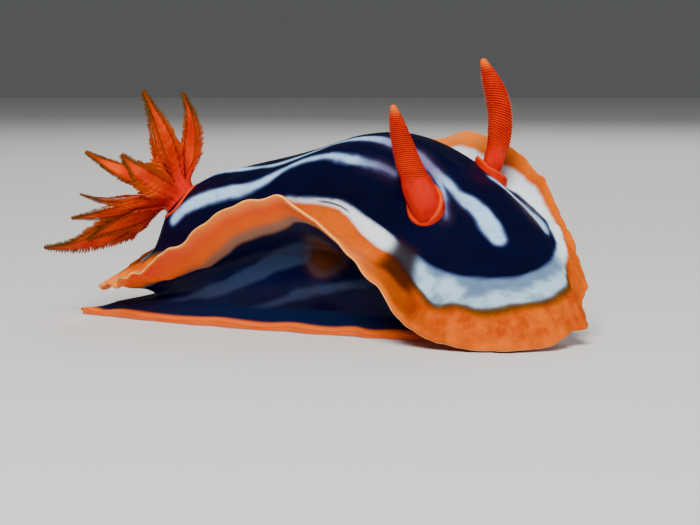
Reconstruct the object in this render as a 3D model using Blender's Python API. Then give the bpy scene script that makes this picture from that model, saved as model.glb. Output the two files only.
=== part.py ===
import math
import bpy
import bmesh
import numpy as np
from mathutils import Vector

for old in list(bpy.data.objects):
    bpy.data.objects.remove(old)

# Every length below is in millimetres; points are made in metres at the end.
UNIT = 0.001
GAP = 0.3
MERGE = 2e-6
SHARP = math.radians(40)

# The body bends to its right: degrees of heading towards -Y at distances along the midline.
HEADING = [(-30, 10), (-12, 16), (0, 26), (10, 42), (17, 54), (24, 60)]
MIDPOINT = (1.0, -0.5)

# Half sizes of the rings of the back and mantle, looked at from above.
MIDLINE = {"front": 8.0, "rear": 12.0}
DOME = {"front": 12.0, "rear": 15.6, "half_width": 3.4}
SHOULDER = {"front": 15.4, "rear": 18.0, "half_width": 5.9}
RIM = {"front": 20.2, "rear": 21.5, "half_width": 9.0}
RING_POWER = 0.82
WIDTH_ALONG = [(-30, 0.55), (-22, 0.66), (-14, 0.80), (-6, 0.90), (2, 0.95), (10, 1.03), (18, 1.06)]

# Heights: the ridge by distance along, the rings by angle (0 head, 90 left, -90 right, 180 tail).
RIDGE = [(-24, 3.0), (-20, 6.8), (-16, 10.2), (-12, 11.5), (-8, 12.2), (-4, 13.35), (0, 14.55),
         (3, 14.6), (7, 13.1), (11, 10.7), (15, 7.6)]
SHOULDER_HEIGHT = [(-180, 4.6), (-150, 5.6), (-120, 7.3), (-103, 8.5), (-90, 9.0), (-75, 8.2),
                   (-60, 6.9), (-30, 5.2), (0, 5.4), (30, 7.5), (60, 10.3), (80, 11.3),
                   (105, 10.4), (130, 8.8), (155, 6.4)]
SHOULDER_OUT = [(-180, 1.0), (-140, 0.98), (-110, 0.88), (-90, 0.84), (-75, 0.88), (-60, 0.96),
                (-30, 1.0), (0, 1.0), (60, 1.0), (120, 1.0)]
RIM_HEIGHT = [(-180, 2.3), (-165, 2.6), (-150, 3.3), (-135, 4.5), (-120, 6.95), (-107, 9.3),
              (-97, 10.3), (-88, 8.2), (-75, 4.7), (-60, 1.35), (-45, 0.45), (-20, 0.3), (-8, 0.45),
              (3, 1.15), (15, 1.6), (30, 4.2), (45, 7.6), (60, 11.2), (72, 13.7), (85, 14.2),
              (100, 12.3), (120, 9.0), (150, 4.5)]
RIM_OUT = [(-180, 1.0), (-150, 1.0), (-120, 1.0), (-90, 1.0), (-60, 1.0), (-30, 0.97), (0, 0.9),
           (25, 0.82), (50, 0.8), (75, 0.9), (100, 1.0), (130, 1.0), (155, 1.0)]
SKIRT_CURL = [(-180, 0.1), (-120, -0.9), (-90, -1.1), (-60, -0.2), (-30, 0.5), (0, 0.6),
              (30, 0.4), (60, -0.5), (90, -0.7), (120, -0.5), (150, -0.2)]
NOTCHES = [(22, 0.035, 4.0), (4, 0.03, 3.5), (-16, 0.012, 5.0), (-33, 0.014, 4.0),
           (-158, 0.05, 6.0), (140, 0.02, 6.0)]
RIM_THICKNESS = 0.6
ROOT_THICKNESS = 2.2

# The foot: a flat sole, a thin margin, and a short point behind.
FOOT_TOP = 1.5
FOOT_EDGE = 0.5
FLANK = {"front": 14.2, "rear": 17.4, "half_width": 5.0}
FOOT_JOIN = {"front": 14.3, "rear": 20.5, "half_width": 4.6}
LOBE = {"at": -94, "wide": 7.0, "swell": 0.09}
FOOT_MARGIN = {"front": 15.6, "rear": 23.6, "half_width": 5.9}
FOOT_POWER = 0.95
FOOT_ALONG = [(-30, 0.05), (-24, 0.22), (-21, 0.45), (-17, 0.72), (-12, 0.9), (-6, 1.0),
              (4, 1.03), (12, 1.0), (18, 0.9)]

# Where the body and the foot are cut across, as distances along.
HEAD_CUT, BACK_CUT = 4.2, -6.5
FOOT_CUTS = (6.5, -9.0)

# Rhinophores: a seat on the back, a lean, a sideways bow, and half widths from root to tip.
RHINOPHORE = {
    "right": {"at": (7.95, -3.83), "lean": (-0.29, -0.15, 0.95), "length": 7.5, "bow": -0.15,
              "widths": [(0, 0.8), (0.14, 0.82), (0.24, 1.06), (0.4, 1.04), (0.56, 0.94), (0.73, 0.8),
                         (0.87, 0.62), (0.95, 0.45), (1.0, 0.3)]},
    "left": {"at": (8.0, 3.8), "lean": (-0.012, 0.13, 0.985), "length": 8.35, "bow": 0.85,
             "widths": [(0, 0.7), (0.14, 0.72), (0.24, 0.78), (0.35, 0.86), (0.5, 0.92), (0.68, 0.9),
                        (0.84, 0.74), (0.94, 0.48), (1.0, 0.3)]},
}
ROOT_DEPTH = 0.9
BOW_FROM = 0.12
HORN_RINGS = {"rows": 31, "depth": 0.13, "slant": 0.35}
SHEATH_HOLE = {"radius": 1.66, "below": 1.3, "above": 4.0}
SHEATH = [(-1.0, 1.36), (0.2, 1.34), (0.36, 1.26), (0.36, 1.14), (0.2, 1.08), (-1.0, 1.08)]

ORAL_TENTACLE = {"from": (14.75, 1.5, 2.1), "to": (16.2, 2.4, 1.6), "radius": 0.42}

# The gill circlet: a collar, and branches that leave a ring inside it, each along its aim
# and then its tip's direction.
GILL_SEAT = (-15.4, 0.2)
GILL_AXIS = (-0.62, 0.05, 0.78)
GILL_RING = 1.25
ROOT_SINK = 0.7
STEM, TIP, BLADE = 0.23, 0.14, 0.26
TOOTH = {"from": 0.3, "depth": 0.34, "lift": 0.45}
COLLAR = {"outer": 2.1, "inner": 1.72, "hole": 2.41, "above": 0.12, "below": 0.9}
BRANCHES = {
    "01": {"turn": -12, "aim": (0.12, -0.1, 1.0), "tip": (-0.4, -0.1, 0.9), "bend": (0.04, 0.2),
           "length": 8.4, "half_width": 0.7},
    "02": {"turn": -48, "aim": (-0.25, -0.3, 0.9), "tip": (-0.4, -0.1, 0.9), "bend": (0.08, 0.34),
           "length": 9.4, "half_width": 0.9},
    "03": {"turn": -84, "aim": (-0.75, -0.5, 0.5), "tip": (-0.6, -0.2, 0.7), "bend": (0.04, 0.2),
           "length": 6.6, "half_width": 0.7},
    "04": {"turn": -120, "aim": (-0.9, -0.4, -0.2), "tip": (-0.9, 0.0, -0.12), "bend": (0.05, 0.18),
           "length": 8.8, "half_width": 0.6},
    "05": {"turn": -156, "aim": (-0.9, -0.22, -0.38), "tip": (-0.8, -0.1, -0.5), "bend": (0.07, 0.2),
           "length": 7.6, "half_width": 0.55},
    "06": {"turn": 168, "aim": (-0.9, 0.0, -0.55), "tip": (-1.0, 0.0, -0.02), "bend": (0.05, 0.17),
           "length": 11.5, "half_width": 0.7},
    "07": {"turn": 132, "aim": (-0.9, 0.3, -0.1), "tip": (-0.9, 0.2, 0.3), "bend": (0.05, 0.2),
           "length": 8.8, "half_width": 0.6},
    "08": {"turn": 96, "aim": (-0.85, 0.4, 0.27), "tip": (-0.8, 0.3, 0.45), "bend": (0.05, 0.22),
           "length": 10.0, "half_width": 0.6},
    "09": {"turn": 60, "aim": (-0.3, 0.7, 0.6), "tip": (-0.4, 0.5, 0.6), "bend": (0.1, 0.4),
           "length": 6.4, "half_width": 0.6},
    "10": {"turn": 24, "aim": (0.1, 0.6, 0.7), "tip": (-0.2, 0.4, 0.8), "bend": (0.12, 0.42),
           "length": 5.6, "half_width": 0.6},
}


NAVY = (0.012, 0.014, 0.05)
ORANGE = (0.9, 0.25, 0.03)
RED_ORANGE = (0.8, 0.12, 0.02)
GREY_BLUE = (0.10, 0.12, 0.22)


def smooth(low, high, x):
    w = np.clip((np.asarray(x, float) - low) / (high - low), 0.0, 1.0)
    return w * w * (3.0 - 2.0 * w)


def hermite(xs, ys, slopes, x):
    x = np.clip(x, xs[0], xs[-1])
    i = np.clip(np.searchsorted(xs, x) - 1, 0, len(xs) - 2)
    h = xs[i + 1] - xs[i]
    w = (x - xs[i]) / h
    a = (1 + 2 * w) * (1 - w) ** 2 * ys[i] + w * w * (3 - 2 * w) * ys[i + 1]
    return a + h * w * (1 - w) ** 2 * slopes[i] - h * w * w * (1 - w) * slopes[i + 1]


def keyed(pairs, x):
    xs = np.array([p[0] for p in pairs], float)
    ys = np.array([p[1] for p in pairs], float)
    return hermite(xs, ys, np.gradient(ys, xs), np.asarray(x, float))


def keyed_round(pairs, degrees):
    xs = np.array([p[0] for p in pairs], float)
    ys = np.array([p[1] for p in pairs], float)
    xs = np.concatenate([xs[-3:] - 360, xs, xs[:3] + 360])
    ys = np.concatenate([ys[-3:], ys, ys[:3]])
    degrees = (np.asarray(degrees, float) + 180) % 360 - 180
    return hermite(xs, ys, np.gradient(ys, xs), degrees)


def midline_path():
    along = np.linspace(-34, 34, 681)
    turn = np.radians(keyed(HEADING, along))
    step = along[1] - along[0]
    x = np.concatenate([[0], np.cumsum(np.cos((turn[1:] + turn[:-1]) / 2) * step)])
    y = np.concatenate([[0], np.cumsum(-np.sin((turn[1:] + turn[:-1]) / 2) * step)])
    x += MIDPOINT[0] - np.interp(0, along, x)
    y += MIDPOINT[1] - np.interp(0, along, y)
    return along, x, y, turn


ALONG, PATH_X, PATH_Y, TURN = midline_path()


def place(xi, eta, z):
    x = np.interp(xi, ALONG, PATH_X)
    y = np.interp(xi, ALONG, PATH_Y)
    a = np.interp(xi, ALONG, TURN)
    return np.stack([x + np.sin(a) * eta, y + np.cos(a) * eta, z + 0 * x], -1)


def power(v, e):
    return np.sign(v) * np.abs(v) ** e


def ring(shape, t):
    c = power(np.cos(t), RING_POWER)
    s = power(np.sin(t), RING_POWER)
    xi = np.where(c > 0, shape["front"], shape["rear"]) * c
    return xi, shape["half_width"] * keyed(WIDTH_ALONG, xi) * s


def rim_reach(degrees):
    out = keyed_round(RIM_OUT, degrees)
    for at, deep, wide in NOTCHES:
        away = (degrees - at + 180) % 360 - 180
        out = out - deep * np.exp(-(away / wide) ** 2)
        out = out + 0.5 * deep * np.exp(-((np.abs(away) - 2 * wide) / wide) ** 2)
    return out


def rim_ruffle(degrees):
    a = np.radians(degrees)
    return 0.16 * np.sin(19 * a + 0.7) + 0.10 * np.sin(31 * a + 2.1) + 0.07 * np.sin(47 * a + 4.0)


def key_rings(t):
    degrees = np.degrees(t)
    from_end = math.pi / 2 - np.minimum(np.abs(t), math.pi - np.abs(t))
    u = np.clip(from_end / (math.pi / 2 - 0.2), 0, 1) ** 0.75
    x0 = np.where(np.abs(t) < math.pi / 2, MIDLINE["front"], -MIDLINE["rear"]) * u
    x1, e1 = ring(DOME, t)
    x2, e2 = ring(SHOULDER, t)
    x4, e4 = ring(RIM, t)
    e2 = e2 * keyed_round(SHOULDER_OUT, degrees)
    out = rim_reach(degrees)
    x4, e4 = x4 * (0.5 + 0.5 * out), e4 * out
    z4 = keyed_round(RIM_HEIGHT, degrees)
    z4 = z4 + rim_ruffle(degrees) * smooth(0.2, 3.0, z4) + 0.1
    z2 = keyed_round(SHOULDER_HEIGHT, degrees)
    other = keyed_round(SHOULDER_HEIGHT, -degrees)
    crest = keyed(RIDGE, x1)
    z1 = crest - 0.2 * (crest - (z2 + other) / 2) + 0.25 * (z2 - other)
    p0 = place(x0, 0 * x0, keyed(RIDGE, x0))
    p2 = place(x2, e2, z2)
    p4 = place(x4, e4, z4)
    p3 = (p2 + p4) / 2
    p3[:, 2] += keyed_round(SKIRT_CURL, degrees)
    return [p0, place(x1, e1, z1), p2, p3, p4]


def through(points, ghost, levels):
    chord = [np.linalg.norm(b - a, axis=-1, keepdims=True) + 1e-9 for a, b in zip(points, points[1:])]
    first = np.linalg.norm(points[0] - ghost, axis=-1, keepdims=True) + 1e-9
    slopes = [(points[1] - ghost) / (first + chord[0])]
    for j in range(1, len(points) - 1):
        a, b = chord[j - 1], chord[j]
        back, ahead = (points[j] - points[j - 1]) / a, (points[j + 1] - points[j]) / b
        slopes.append((back * b + ahead * a) / (a + b))
    slopes.append((points[-1] - points[-2]) / chord[-1])
    rows = []
    for level in levels:
        j = min(int(level), len(points) - 2)
        w, h = level - j, chord[j]
        row = points[j] * (1 + 2 * w) * (1 - w) ** 2 + points[j + 1] * w * w * (3 - 2 * w)
        row = row + h * slopes[j] * w * (1 - w) ** 2 - h * slopes[j + 1] * w * w * (1 - w)
        rows.append(row)
    return np.array(rows)


def top_sheet(t, levels):
    return through(key_rings(t), key_rings(-t)[1], levels)


def sheet_normals(t, level):
    small = 0.02
    a = top_sheet(t - small, [level])[0]
    b = top_sheet(t + small, [level])[0]
    c = top_sheet(t, [max(level - small, 0), min(level + small, 4)])
    n = np.cross(c[1] - c[0], b - a)
    return n / (np.linalg.norm(n, axis=-1, keepdims=True) + 1e-12)


def under_sheet(t, level):
    """The skirt's underside below one level of its top, thick at the root and thin at the rim."""
    f = smooth(2.0, 4.0, level)
    x2, e2 = ring(SHOULDER, t)
    a = np.interp(x2, ALONG, TURN)
    out = np.stack([np.sin(a) * np.sign(np.sin(t)), np.cos(a) * np.sign(np.sin(t)), 0 * a], -1)
    out = out * np.abs(np.sin(t))[:, None] * 0.35
    deep = np.minimum(ROOT_THICKNESS, key_rings(t)[2][:, 2] - FOOT_TOP - GAP - 0.6)[:, None]
    root = deep * (np.array([0.0, 0.0, 1.0]) + out)
    rim = RIM_THICKNESS * sheet_normals(t, level)
    top = top_sheet(t, [level])[0]
    low = top - (root * (1 - f) + rim * f)
    low[:, 2] = np.maximum(low[:, 2], 0.15)
    return low


def foot_ring(shape, t):
    c = power(np.cos(t), FOOT_POWER)
    s = power(np.sin(t), FOOT_POWER)
    xi = np.where(c > 0, shape["front"], shape["rear"]) * c
    return xi, shape["half_width"] * keyed(FOOT_ALONG, xi) * s


def tail_fall(xi):
    """How much the foot's upper side sinks towards the tip of the tail."""
    return 0.45 * (1 - smooth(-22.0, -16.5, xi))


def flank_rows(t):
    root = under_sheet(t, 2.0)
    degrees = np.degrees(t)
    xf, ef = foot_ring(FLANK, t)
    xj, ej = foot_ring(FOOT_JOIN, t)
    base = FOOT_TOP + GAP
    zf = base + (root[:, 2] - base) * 0.45
    swell = LOBE["swell"] * np.exp(-((degrees - LOBE["at"]) / LOBE["wide"]) ** 2)
    flank = place(xf, ef * (1 + swell), zf)
    join = place(xj, ej, base + 0 * xj)
    return through([root, flank, join], 2 * root - flank, [0.0, 0.5, 1.0, 1.5, 2.0])


def tidied(bm, mesh):
    """Merges, triangulates and faces a mesh outward, and shades its round parts smooth."""
    bmesh.ops.remove_doubles(bm, verts=bm.verts, dist=MERGE)
    bmesh.ops.dissolve_degenerate(bm, edges=bm.edges, dist=MERGE)
    bmesh.ops.triangulate(bm, faces=bm.faces)
    bmesh.ops.recalc_face_normals(bm, faces=bm.faces)
    bm.to_mesh(mesh)
    bm.free()
    mesh.shade_smooth()
    mesh.set_sharp_from_angle(angle=SHARP)


def new_object(name, verts, faces, colour):
    mesh = bpy.data.meshes.new(name)
    mesh.from_pydata([tuple(UNIT * v) for v in np.asarray(verts, float)], [], faces)
    bm = bmesh.new()
    bm.from_mesh(mesh)
    tidied(bm, mesh)
    obj = bpy.data.objects.new(name, mesh)
    bpy.context.collection.objects.link(obj)
    material = bpy.data.materials.new("m_" + name)
    material.use_nodes = True
    shader = material.node_tree.nodes["Principled BSDF"]
    shader.inputs["Base Color"].default_value = (*colour, 1.0)
    mesh.materials.append(material)
    return obj


def wrapped(rows):
    """Faces of rows of points that close on themselves."""
    n = len(rows[0])
    faces = []
    for i in range(len(rows) - 1):
        for j in range(n):
            k = (j + 1) % n
            faces.append((i * n + j, i * n + n + j, i * n + n + k, i * n + k))
    return np.concatenate(rows), faces


def cut_between(source, name, low, high, colour):
    """A copy of source kept between two upright cuts across the body."""
    bm = bmesh.new()
    bm.from_mesh(source.data)
    for at, keep_front in ((low, True), (high, False)):
        if at is None:
            continue
        spot = place(np.array([at]), np.array([0.0]), np.array([5.0]))[0] * UNIT
        a = float(np.interp(at, ALONG, TURN))
        ahead = Vector((math.cos(a), -math.sin(a), 0.0))
        geom = bm.verts[:] + bm.edges[:] + bm.faces[:]
        cut = bmesh.ops.bisect_plane(bm, geom=geom, dist=1e-7, plane_co=Vector(spot),
                                     plane_no=ahead, clear_inner=keep_front,
                                     clear_outer=not keep_front)
        rim = [e for e in cut["geom_cut"] if isinstance(e, bmesh.types.BMEdge)]
        bmesh.ops.edgeloop_fill(bm, edges=rim)
    obj = new_object(name, [(0, 0, 0)], [], colour)
    tidied(bm, obj.data)
    return obj


def cut_away(obj, tool):
    """Takes the shape of tool out of obj, and removes tool."""
    modifier = obj.modifiers.new("cut", "BOOLEAN")
    modifier.operation = "DIFFERENCE"
    modifier.solver = "EXACT"
    modifier.object = tool
    graph = bpy.context.evaluated_depsgraph_get()
    mesh = bpy.data.meshes.new_from_object(obj.evaluated_get(graph))
    material = obj.data.materials[0]
    obj.modifiers.clear()
    obj.data = mesh
    mesh.materials.clear()
    mesh.materials.append(material)
    bm = bmesh.new()
    bm.from_mesh(mesh)
    tidied(bm, mesh)
    bpy.data.objects.remove(tool)


def frame_along(points):
    """Axes carried along a bent line without twist."""
    points = [Vector(p) for p in points]
    tangents = []
    for i in range(len(points)):
        a = points[max(i - 1, 0)]
        b = points[min(i + 1, len(points) - 1)]
        tangents.append((b - a).normalized())
    side = tangents[0].orthogonal().normalized()
    frames = []
    for tangent in tangents:
        side = (side - tangent * side.dot(tangent)).normalized()
        frames.append((tangent, side, tangent.cross(side)))
    return points, frames


def tube(points, widths, sides, round_tip=True, slants=None):
    """A closed tapering tube; a ring with a slant tilts up on one side."""
    points, frames = frame_along(points)
    verts, rows = [], []
    for i, (p, (tangent, u, v), r) in enumerate(zip(points, frames, widths)):
        tilt = slants[i] if slants else 0.0
        row = []
        for k in range(sides):
            a = 2 * math.pi * k / sides
            row.append(len(verts))
            c, s = r * math.cos(a), r * math.sin(a)
            verts.append(p + u * c + v * s + tangent * (tilt * c))
        rows.append(row)
    faces = [tuple(reversed(rows[0]))]
    for a, b in zip(rows, rows[1:]):
        for k in range(sides):
            j = (k + 1) % sides
            faces.append((a[k], a[j], b[j], b[k]))
    if round_tip:
        verts.append(points[-1] + frames[-1][0] * (widths[-1] * 0.7))
        for k in range(sides):
            faces.append((rows[-1][k], rows[-1][(k + 1) % sides], len(verts) - 1))
    else:
        faces.append(tuple(rows[-1]))
    return np.array([tuple(v) for v in verts]), faces


def collar(name, seat, axis, profile, sides, colour):
    """A ring swept round an axis from a profile of (height, radius)."""
    u = Vector(axis).orthogonal().normalized()
    v = Vector(axis).cross(u)
    verts = []
    for k in range(sides):
        a = 2 * math.pi * k / sides
        direction = np.array(u * math.cos(a) + v * math.sin(a))
        verts += [seat + axis * h + direction * r for h, r in profile]
    m = len(profile)
    faces = []
    for k in range(sides):
        n = (k + 1) % sides
        for i in range(m):
            j = (i + 1) % m
            faces.append((k * m + i, n * m + i, n * m + j, k * m + j))
    return new_object(name, np.array(verts), faces, colour)


def surface_height(xi, eta):
    """Height of the back over a point of the plan, found on a fine copy of the top sheet."""
    t = np.linspace(-math.pi, math.pi, 361)
    rows = top_sheet(t, np.linspace(0, 3.9, 60)).reshape(-1, 3)
    spot = place(np.array([xi]), np.array([eta]), np.array([0.0]))[0]
    d = (rows[:, 0] - spot[0]) ** 2 + (rows[:, 1] - spot[1]) ** 2
    near = np.argsort(d)[:6]
    w = 1.0 / (d[near] + 1e-4)
    return np.array([spot[0], spot[1], float((rows[near, 2] * w).sum() / w.sum())])


# The body under the mantle, cut into head and two lengths of back.
columns = np.linspace(-math.pi, math.pi, 84, endpoint=False) + math.pi / 84
top_levels = [0, 0.35, 0.7, 1.0, 1.35, 1.7, 2.0]
rows = list(top_sheet(columns, top_levels)) + list(flank_rows(columns))
xj, ej = foot_ring(FOOT_JOIN, columns)
rows.append(place(xj * 0.8, 0 * xj, FOOT_TOP + GAP + 0 * xj))
body_verts, body_faces = wrapped(rows)
body = new_object("body", body_verts, body_faces, NAVY)
parts = {
    "head": cut_between(body, "head", HEAD_CUT + GAP / 2, None, NAVY),
    "back_front": cut_between(body, "back_front", BACK_CUT + GAP / 2, HEAD_CUT - GAP / 2, NAVY),
    "back_rear": cut_between(body, "back_rear", None, BACK_CUT - GAP / 2, NAVY),
}
bpy.data.objects.remove(body)

# The foot, cut in three the same way.
foot_columns = np.linspace(-math.pi, math.pi, 60, endpoint=False) + math.pi / 60
xj, ej = foot_ring(FOOT_JOIN, foot_columns)
xm, em = foot_ring(FOOT_MARGIN, foot_columns)
flat = 0 * xj
foot_rows = [
    place(xj * 0.8, flat, FOOT_TOP + flat),
    place(xj, ej, FOOT_TOP - tail_fall(xj)),
    place((xj + xm) / 2, (ej + em) / 2, (FOOT_TOP + FOOT_EDGE) / 2 + 0.05 - 0.8 * tail_fall(xm)),
    place(xm, em, FOOT_EDGE + flat),
    place(xm * 0.99, em * 0.97, flat),
    place(xm * 0.8, flat, flat),
]
foot_verts, foot_faces = wrapped(foot_rows)
foot = new_object("foot", foot_verts, foot_faces, GREY_BLUE)
front_cut, tail_cut = FOOT_CUTS
parts["foot_front"] = cut_between(foot, "foot_front", front_cut + GAP / 2, None, GREY_BLUE)
parts["foot_middle"] = cut_between(foot, "foot_middle", tail_cut + GAP / 2, front_cut - GAP / 2, GREY_BLUE)
parts["foot_tail"] = cut_between(foot, "foot_tail", None, tail_cut - GAP / 2, GREY_BLUE)
bpy.data.objects.remove(foot)


# The mantle skirt all the way round, in six lengths.
def half_gap(angle):
    """Half the gap between two lengths of skirt, as an angle."""
    t = np.array([angle - 0.01, angle + 0.01])
    t = (t + math.pi) % (2 * math.pi) - math.pi
    a, b = top_sheet(t, [2.6])[0]
    return GAP / 2 * 0.02 / float(np.linalg.norm(b - a))


def skirt(name, start, stop, count):
    a = math.radians(start)
    b = math.radians(stop)
    a, b = a + half_gap(a), b - half_gap(b)
    t = np.linspace(a, b, count)
    t = (t + math.pi) % (2 * math.pi) - math.pi
    levels = [2.2, 2.55, 2.9, 3.25, 3.6, 3.85, 4.0]
    rows = list(top_sheet(t, levels)) + [under_sheet(t, level) for level in reversed(levels)]
    m = len(rows)
    verts = np.concatenate(rows)
    faces = []
    for i in range(m):
        for j in range(count - 1):
            k = (i + 1) % m
            faces.append((i * count + j, k * count + j, k * count + j + 1, i * count + j + 1))
    for j in (0, count - 1):
        for i in range(m // 2 - 1):
            quad = [i * count + j, (i + 1) * count + j, (m - 2 - i) * count + j, (m - 1 - i) * count + j]
            faces.append(tuple(quad))
    return new_object(name, verts, faces, ORANGE)


parts["mantle_front"] = skirt("mantle_front", -38, 38, 27)
parts["mantle_right_front"] = skirt("mantle_right_front", -84, -38, 17)
parts["mantle_right_rear"] = skirt("mantle_right_rear", -142, -84, 21)
parts["mantle_rear"] = skirt("mantle_rear", 142, 218, 25)
parts["mantle_left_rear"] = skirt("mantle_left_rear", 92, 142, 19)
parts["mantle_left_front"] = skirt("mantle_left_front", 38, 92, 19)

# Rhinophores standing in raised sheaths on the head.
for side, spec in RHINOPHORE.items():
    seat = surface_height(*spec["at"])
    lean = np.array(spec["lean"])
    lean = lean / np.linalg.norm(lean)
    drill_points = [tuple(seat + lean * d) for d in (-SHEATH_HOLE["below"], SHEATH_HOLE["above"])]
    verts, faces = tube(drill_points, [SHEATH_HOLE["radius"]] * 2, 28, round_tip=False)
    cut_away(parts["head"], new_object("drill", verts, faces, NAVY))
    bow = np.array([spec["bow"], 0.0, 0.0])
    steps = np.linspace(0, 1, HORN_RINGS["rows"])
    reach = spec["length"] + ROOT_DEPTH
    bend = np.sin(math.pi * np.maximum(steps - BOW_FROM, 0) / (1 - BOW_FROM))
    line = [tuple(seat + lean * (reach * s - ROOT_DEPTH) + bow * b) for s, b in zip(steps, bend)]
    ringed = smooth(0.2, 0.28, steps) * (1 - smooth(0.93, 0.98, steps))
    odd = np.arange(HORN_RINGS["rows"]) % 2
    widths = keyed(spec["widths"], steps) - HORN_RINGS["depth"] * ringed * odd
    verts, faces = tube(line, list(widths), 14, slants=list(HORN_RINGS["slant"] * ringed))
    name = "rhinophore_" + side
    parts[name] = new_object(name, verts, faces, RED_ORANGE)
    name = "rhinophore_sheath_" + side
    parts[name] = collar(name, seat, lean, SHEATH, 24, ORANGE)

# Two short tentacles beside the mouth, under the front of the mantle.
for side, sign in (("right", -1), ("left", 1)):
    start, stop = ORAL_TENTACLE["from"], ORAL_TENTACLE["to"]
    ends = [place(np.array([p[0]]), np.array([sign * p[1]]), np.array([p[2]]))[0] for p in (start, stop)]
    line = [tuple(ends[0] + (ends[1] - ends[0]) * s) for s in np.linspace(0, 1, 5)]
    r = ORAL_TENTACLE["radius"]
    verts, faces = tube(line, [r, r, 0.92 * r, 0.8 * r, 0.6 * r], 10)
    name = "oral_tentacle_" + side
    parts[name] = new_object(name, verts, faces, RED_ORANGE)

# The gill circlet in its collar at the back of the mantle.
gill_seat = surface_height(*GILL_SEAT)
gill_axis = np.array(GILL_AXIS) / np.linalg.norm(GILL_AXIS)
drill_points = [tuple(gill_seat + gill_axis * d) for d in (-COLLAR["below"] - GAP, 5.0)]
verts, faces = tube(drill_points, [COLLAR["hole"]] * 2, 32, round_tip=False)
cut_away(parts["back_rear"], new_object("drill", verts, faces, NAVY))
inner, outer = COLLAR["inner"], COLLAR["outer"]
lip = COLLAR["above"]
profile = [(-COLLAR["below"], outer), (lip - 0.25, outer), (lip, (outer + inner) / 2),
           (lip - 0.2, inner), (-COLLAR["below"], inner)]
parts["gill_pocket"] = collar("gill_pocket", gill_seat, gill_axis, profile, 30, ORANGE)
line = [tuple(gill_seat + gill_axis * d) for d in (-0.8, 0.2, 0.9, 1.3)]
verts, faces = tube(line, [0.42, 0.42, 0.38, 0.26], 10)
parts["anal_papilla"] = new_object("anal_papilla", verts, faces, RED_ORANGE)

up = np.array([0.78, 0.0, 0.62])
up = up - gill_axis * float(up @ gill_axis)
up = up / np.linalg.norm(up)
across = np.cross(gill_axis, up)


def branch_line(root, branch, count):
    """A line that leaves root along the gill axis and bends to its aim and then to its tip."""
    aim = np.array(branch["aim"]) / np.linalg.norm(branch["aim"])
    tip = np.array(branch["tip"]) / np.linalg.norm(branch["tip"])
    fine = 241
    s = np.linspace(0, 1, fine)[:, None]
    to_aim = smooth(*branch["bend"], s)
    to_tip = np.minimum(smooth(0.45, 1.0, s), to_aim)
    direction = gill_axis * (1 - to_aim) + aim * (to_aim - to_tip) + tip * to_tip
    direction = direction / np.linalg.norm(direction, axis=1, keepdims=True)
    step = branch["length"] / (fine - 1)
    run = root + np.concatenate([[[0, 0, 0]], np.cumsum(direction[:-1], axis=0)]) * step
    return run[:: (fine - 1) // (count - 1)]


def feather(name, points, half_widths, wide_axis):
    """A closed leaf-like solid, toothed along both edges, wide along wide_axis."""
    points, frames = frame_along([tuple(p) for p in points])
    verts, rows = [], []
    for i, (p, (tangent, u, v), r) in enumerate(zip(points, frames, half_widths)):
        u = (Vector(wide_axis) - tangent * Vector(wide_axis).dot(tangent)).normalized()
        v = tangent.cross(u)
        inside = 0.0 if r <= TOOTH["from"] else TOOTH["depth"]
        row = []
        for k in range(8):
            c, s = math.cos(2 * math.pi * k / 8), math.sin(2 * math.pi * k / 8)
            tooth = (i + (1 if c < 0 else 0)) % 2
            reach = r * (1 - inside * tooth) if abs(c) > 0.1 else r
            lift = TOOTH["lift"] * (r - TOOTH["from"]) * c * c * (1 - tooth) if inside else 0.0
            row.append(len(verts))
            verts.append(p + u * (c * reach) + v * (s * min(r, BLADE)) + tangent * lift)
        rows.append(row)
    faces = [tuple(reversed(rows[0]))]
    for a, b in zip(rows, rows[1:]):
        for k in range(8):
            j = (k + 1) % 8
            faces.append((a[k], a[j], b[j], b[k]))
    faces.append(tuple(rows[-1]))
    return new_object(name, np.array([tuple(v) for v in verts]), faces, RED_ORANGE)


for number, branch in BRANCHES.items():
    a = math.radians(branch["turn"])
    radial = up * math.cos(a) + across * math.sin(a)
    root = gill_seat + radial * GILL_RING
    line = branch_line(root - gill_axis * ROOT_SINK, branch, 25)
    s = np.linspace(0, 1, 25)
    wide = branch["half_width"]
    half_widths = STEM + (wide - STEM) * smooth(0.12, 0.45, s) - (wide - TIP) * smooth(0.62, 1.0, s)
    across_blade = across * math.cos(a) - up * math.sin(a)
    name = "gill_branch_" + number
    parts[name] = feather(name, line, half_widths, tuple(across_blade))
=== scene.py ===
import math
import bpy
import bmesh
import numpy as np
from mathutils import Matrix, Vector
from mathutils.bvhtree import BVHTree


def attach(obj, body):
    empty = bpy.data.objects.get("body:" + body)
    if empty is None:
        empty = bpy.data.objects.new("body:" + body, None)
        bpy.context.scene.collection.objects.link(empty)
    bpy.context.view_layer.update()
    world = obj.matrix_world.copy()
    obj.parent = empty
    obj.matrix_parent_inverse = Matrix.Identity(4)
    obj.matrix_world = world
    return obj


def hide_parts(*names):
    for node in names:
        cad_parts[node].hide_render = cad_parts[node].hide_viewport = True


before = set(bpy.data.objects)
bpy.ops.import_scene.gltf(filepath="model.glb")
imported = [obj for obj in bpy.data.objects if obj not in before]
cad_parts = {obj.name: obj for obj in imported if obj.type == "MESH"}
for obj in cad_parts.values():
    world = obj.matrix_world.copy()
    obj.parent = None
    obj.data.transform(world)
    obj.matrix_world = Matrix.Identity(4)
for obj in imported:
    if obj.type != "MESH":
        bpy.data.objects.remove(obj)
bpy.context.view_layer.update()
mm = 0.001   # shapes are worked out in millimetres and made in metres

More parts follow.
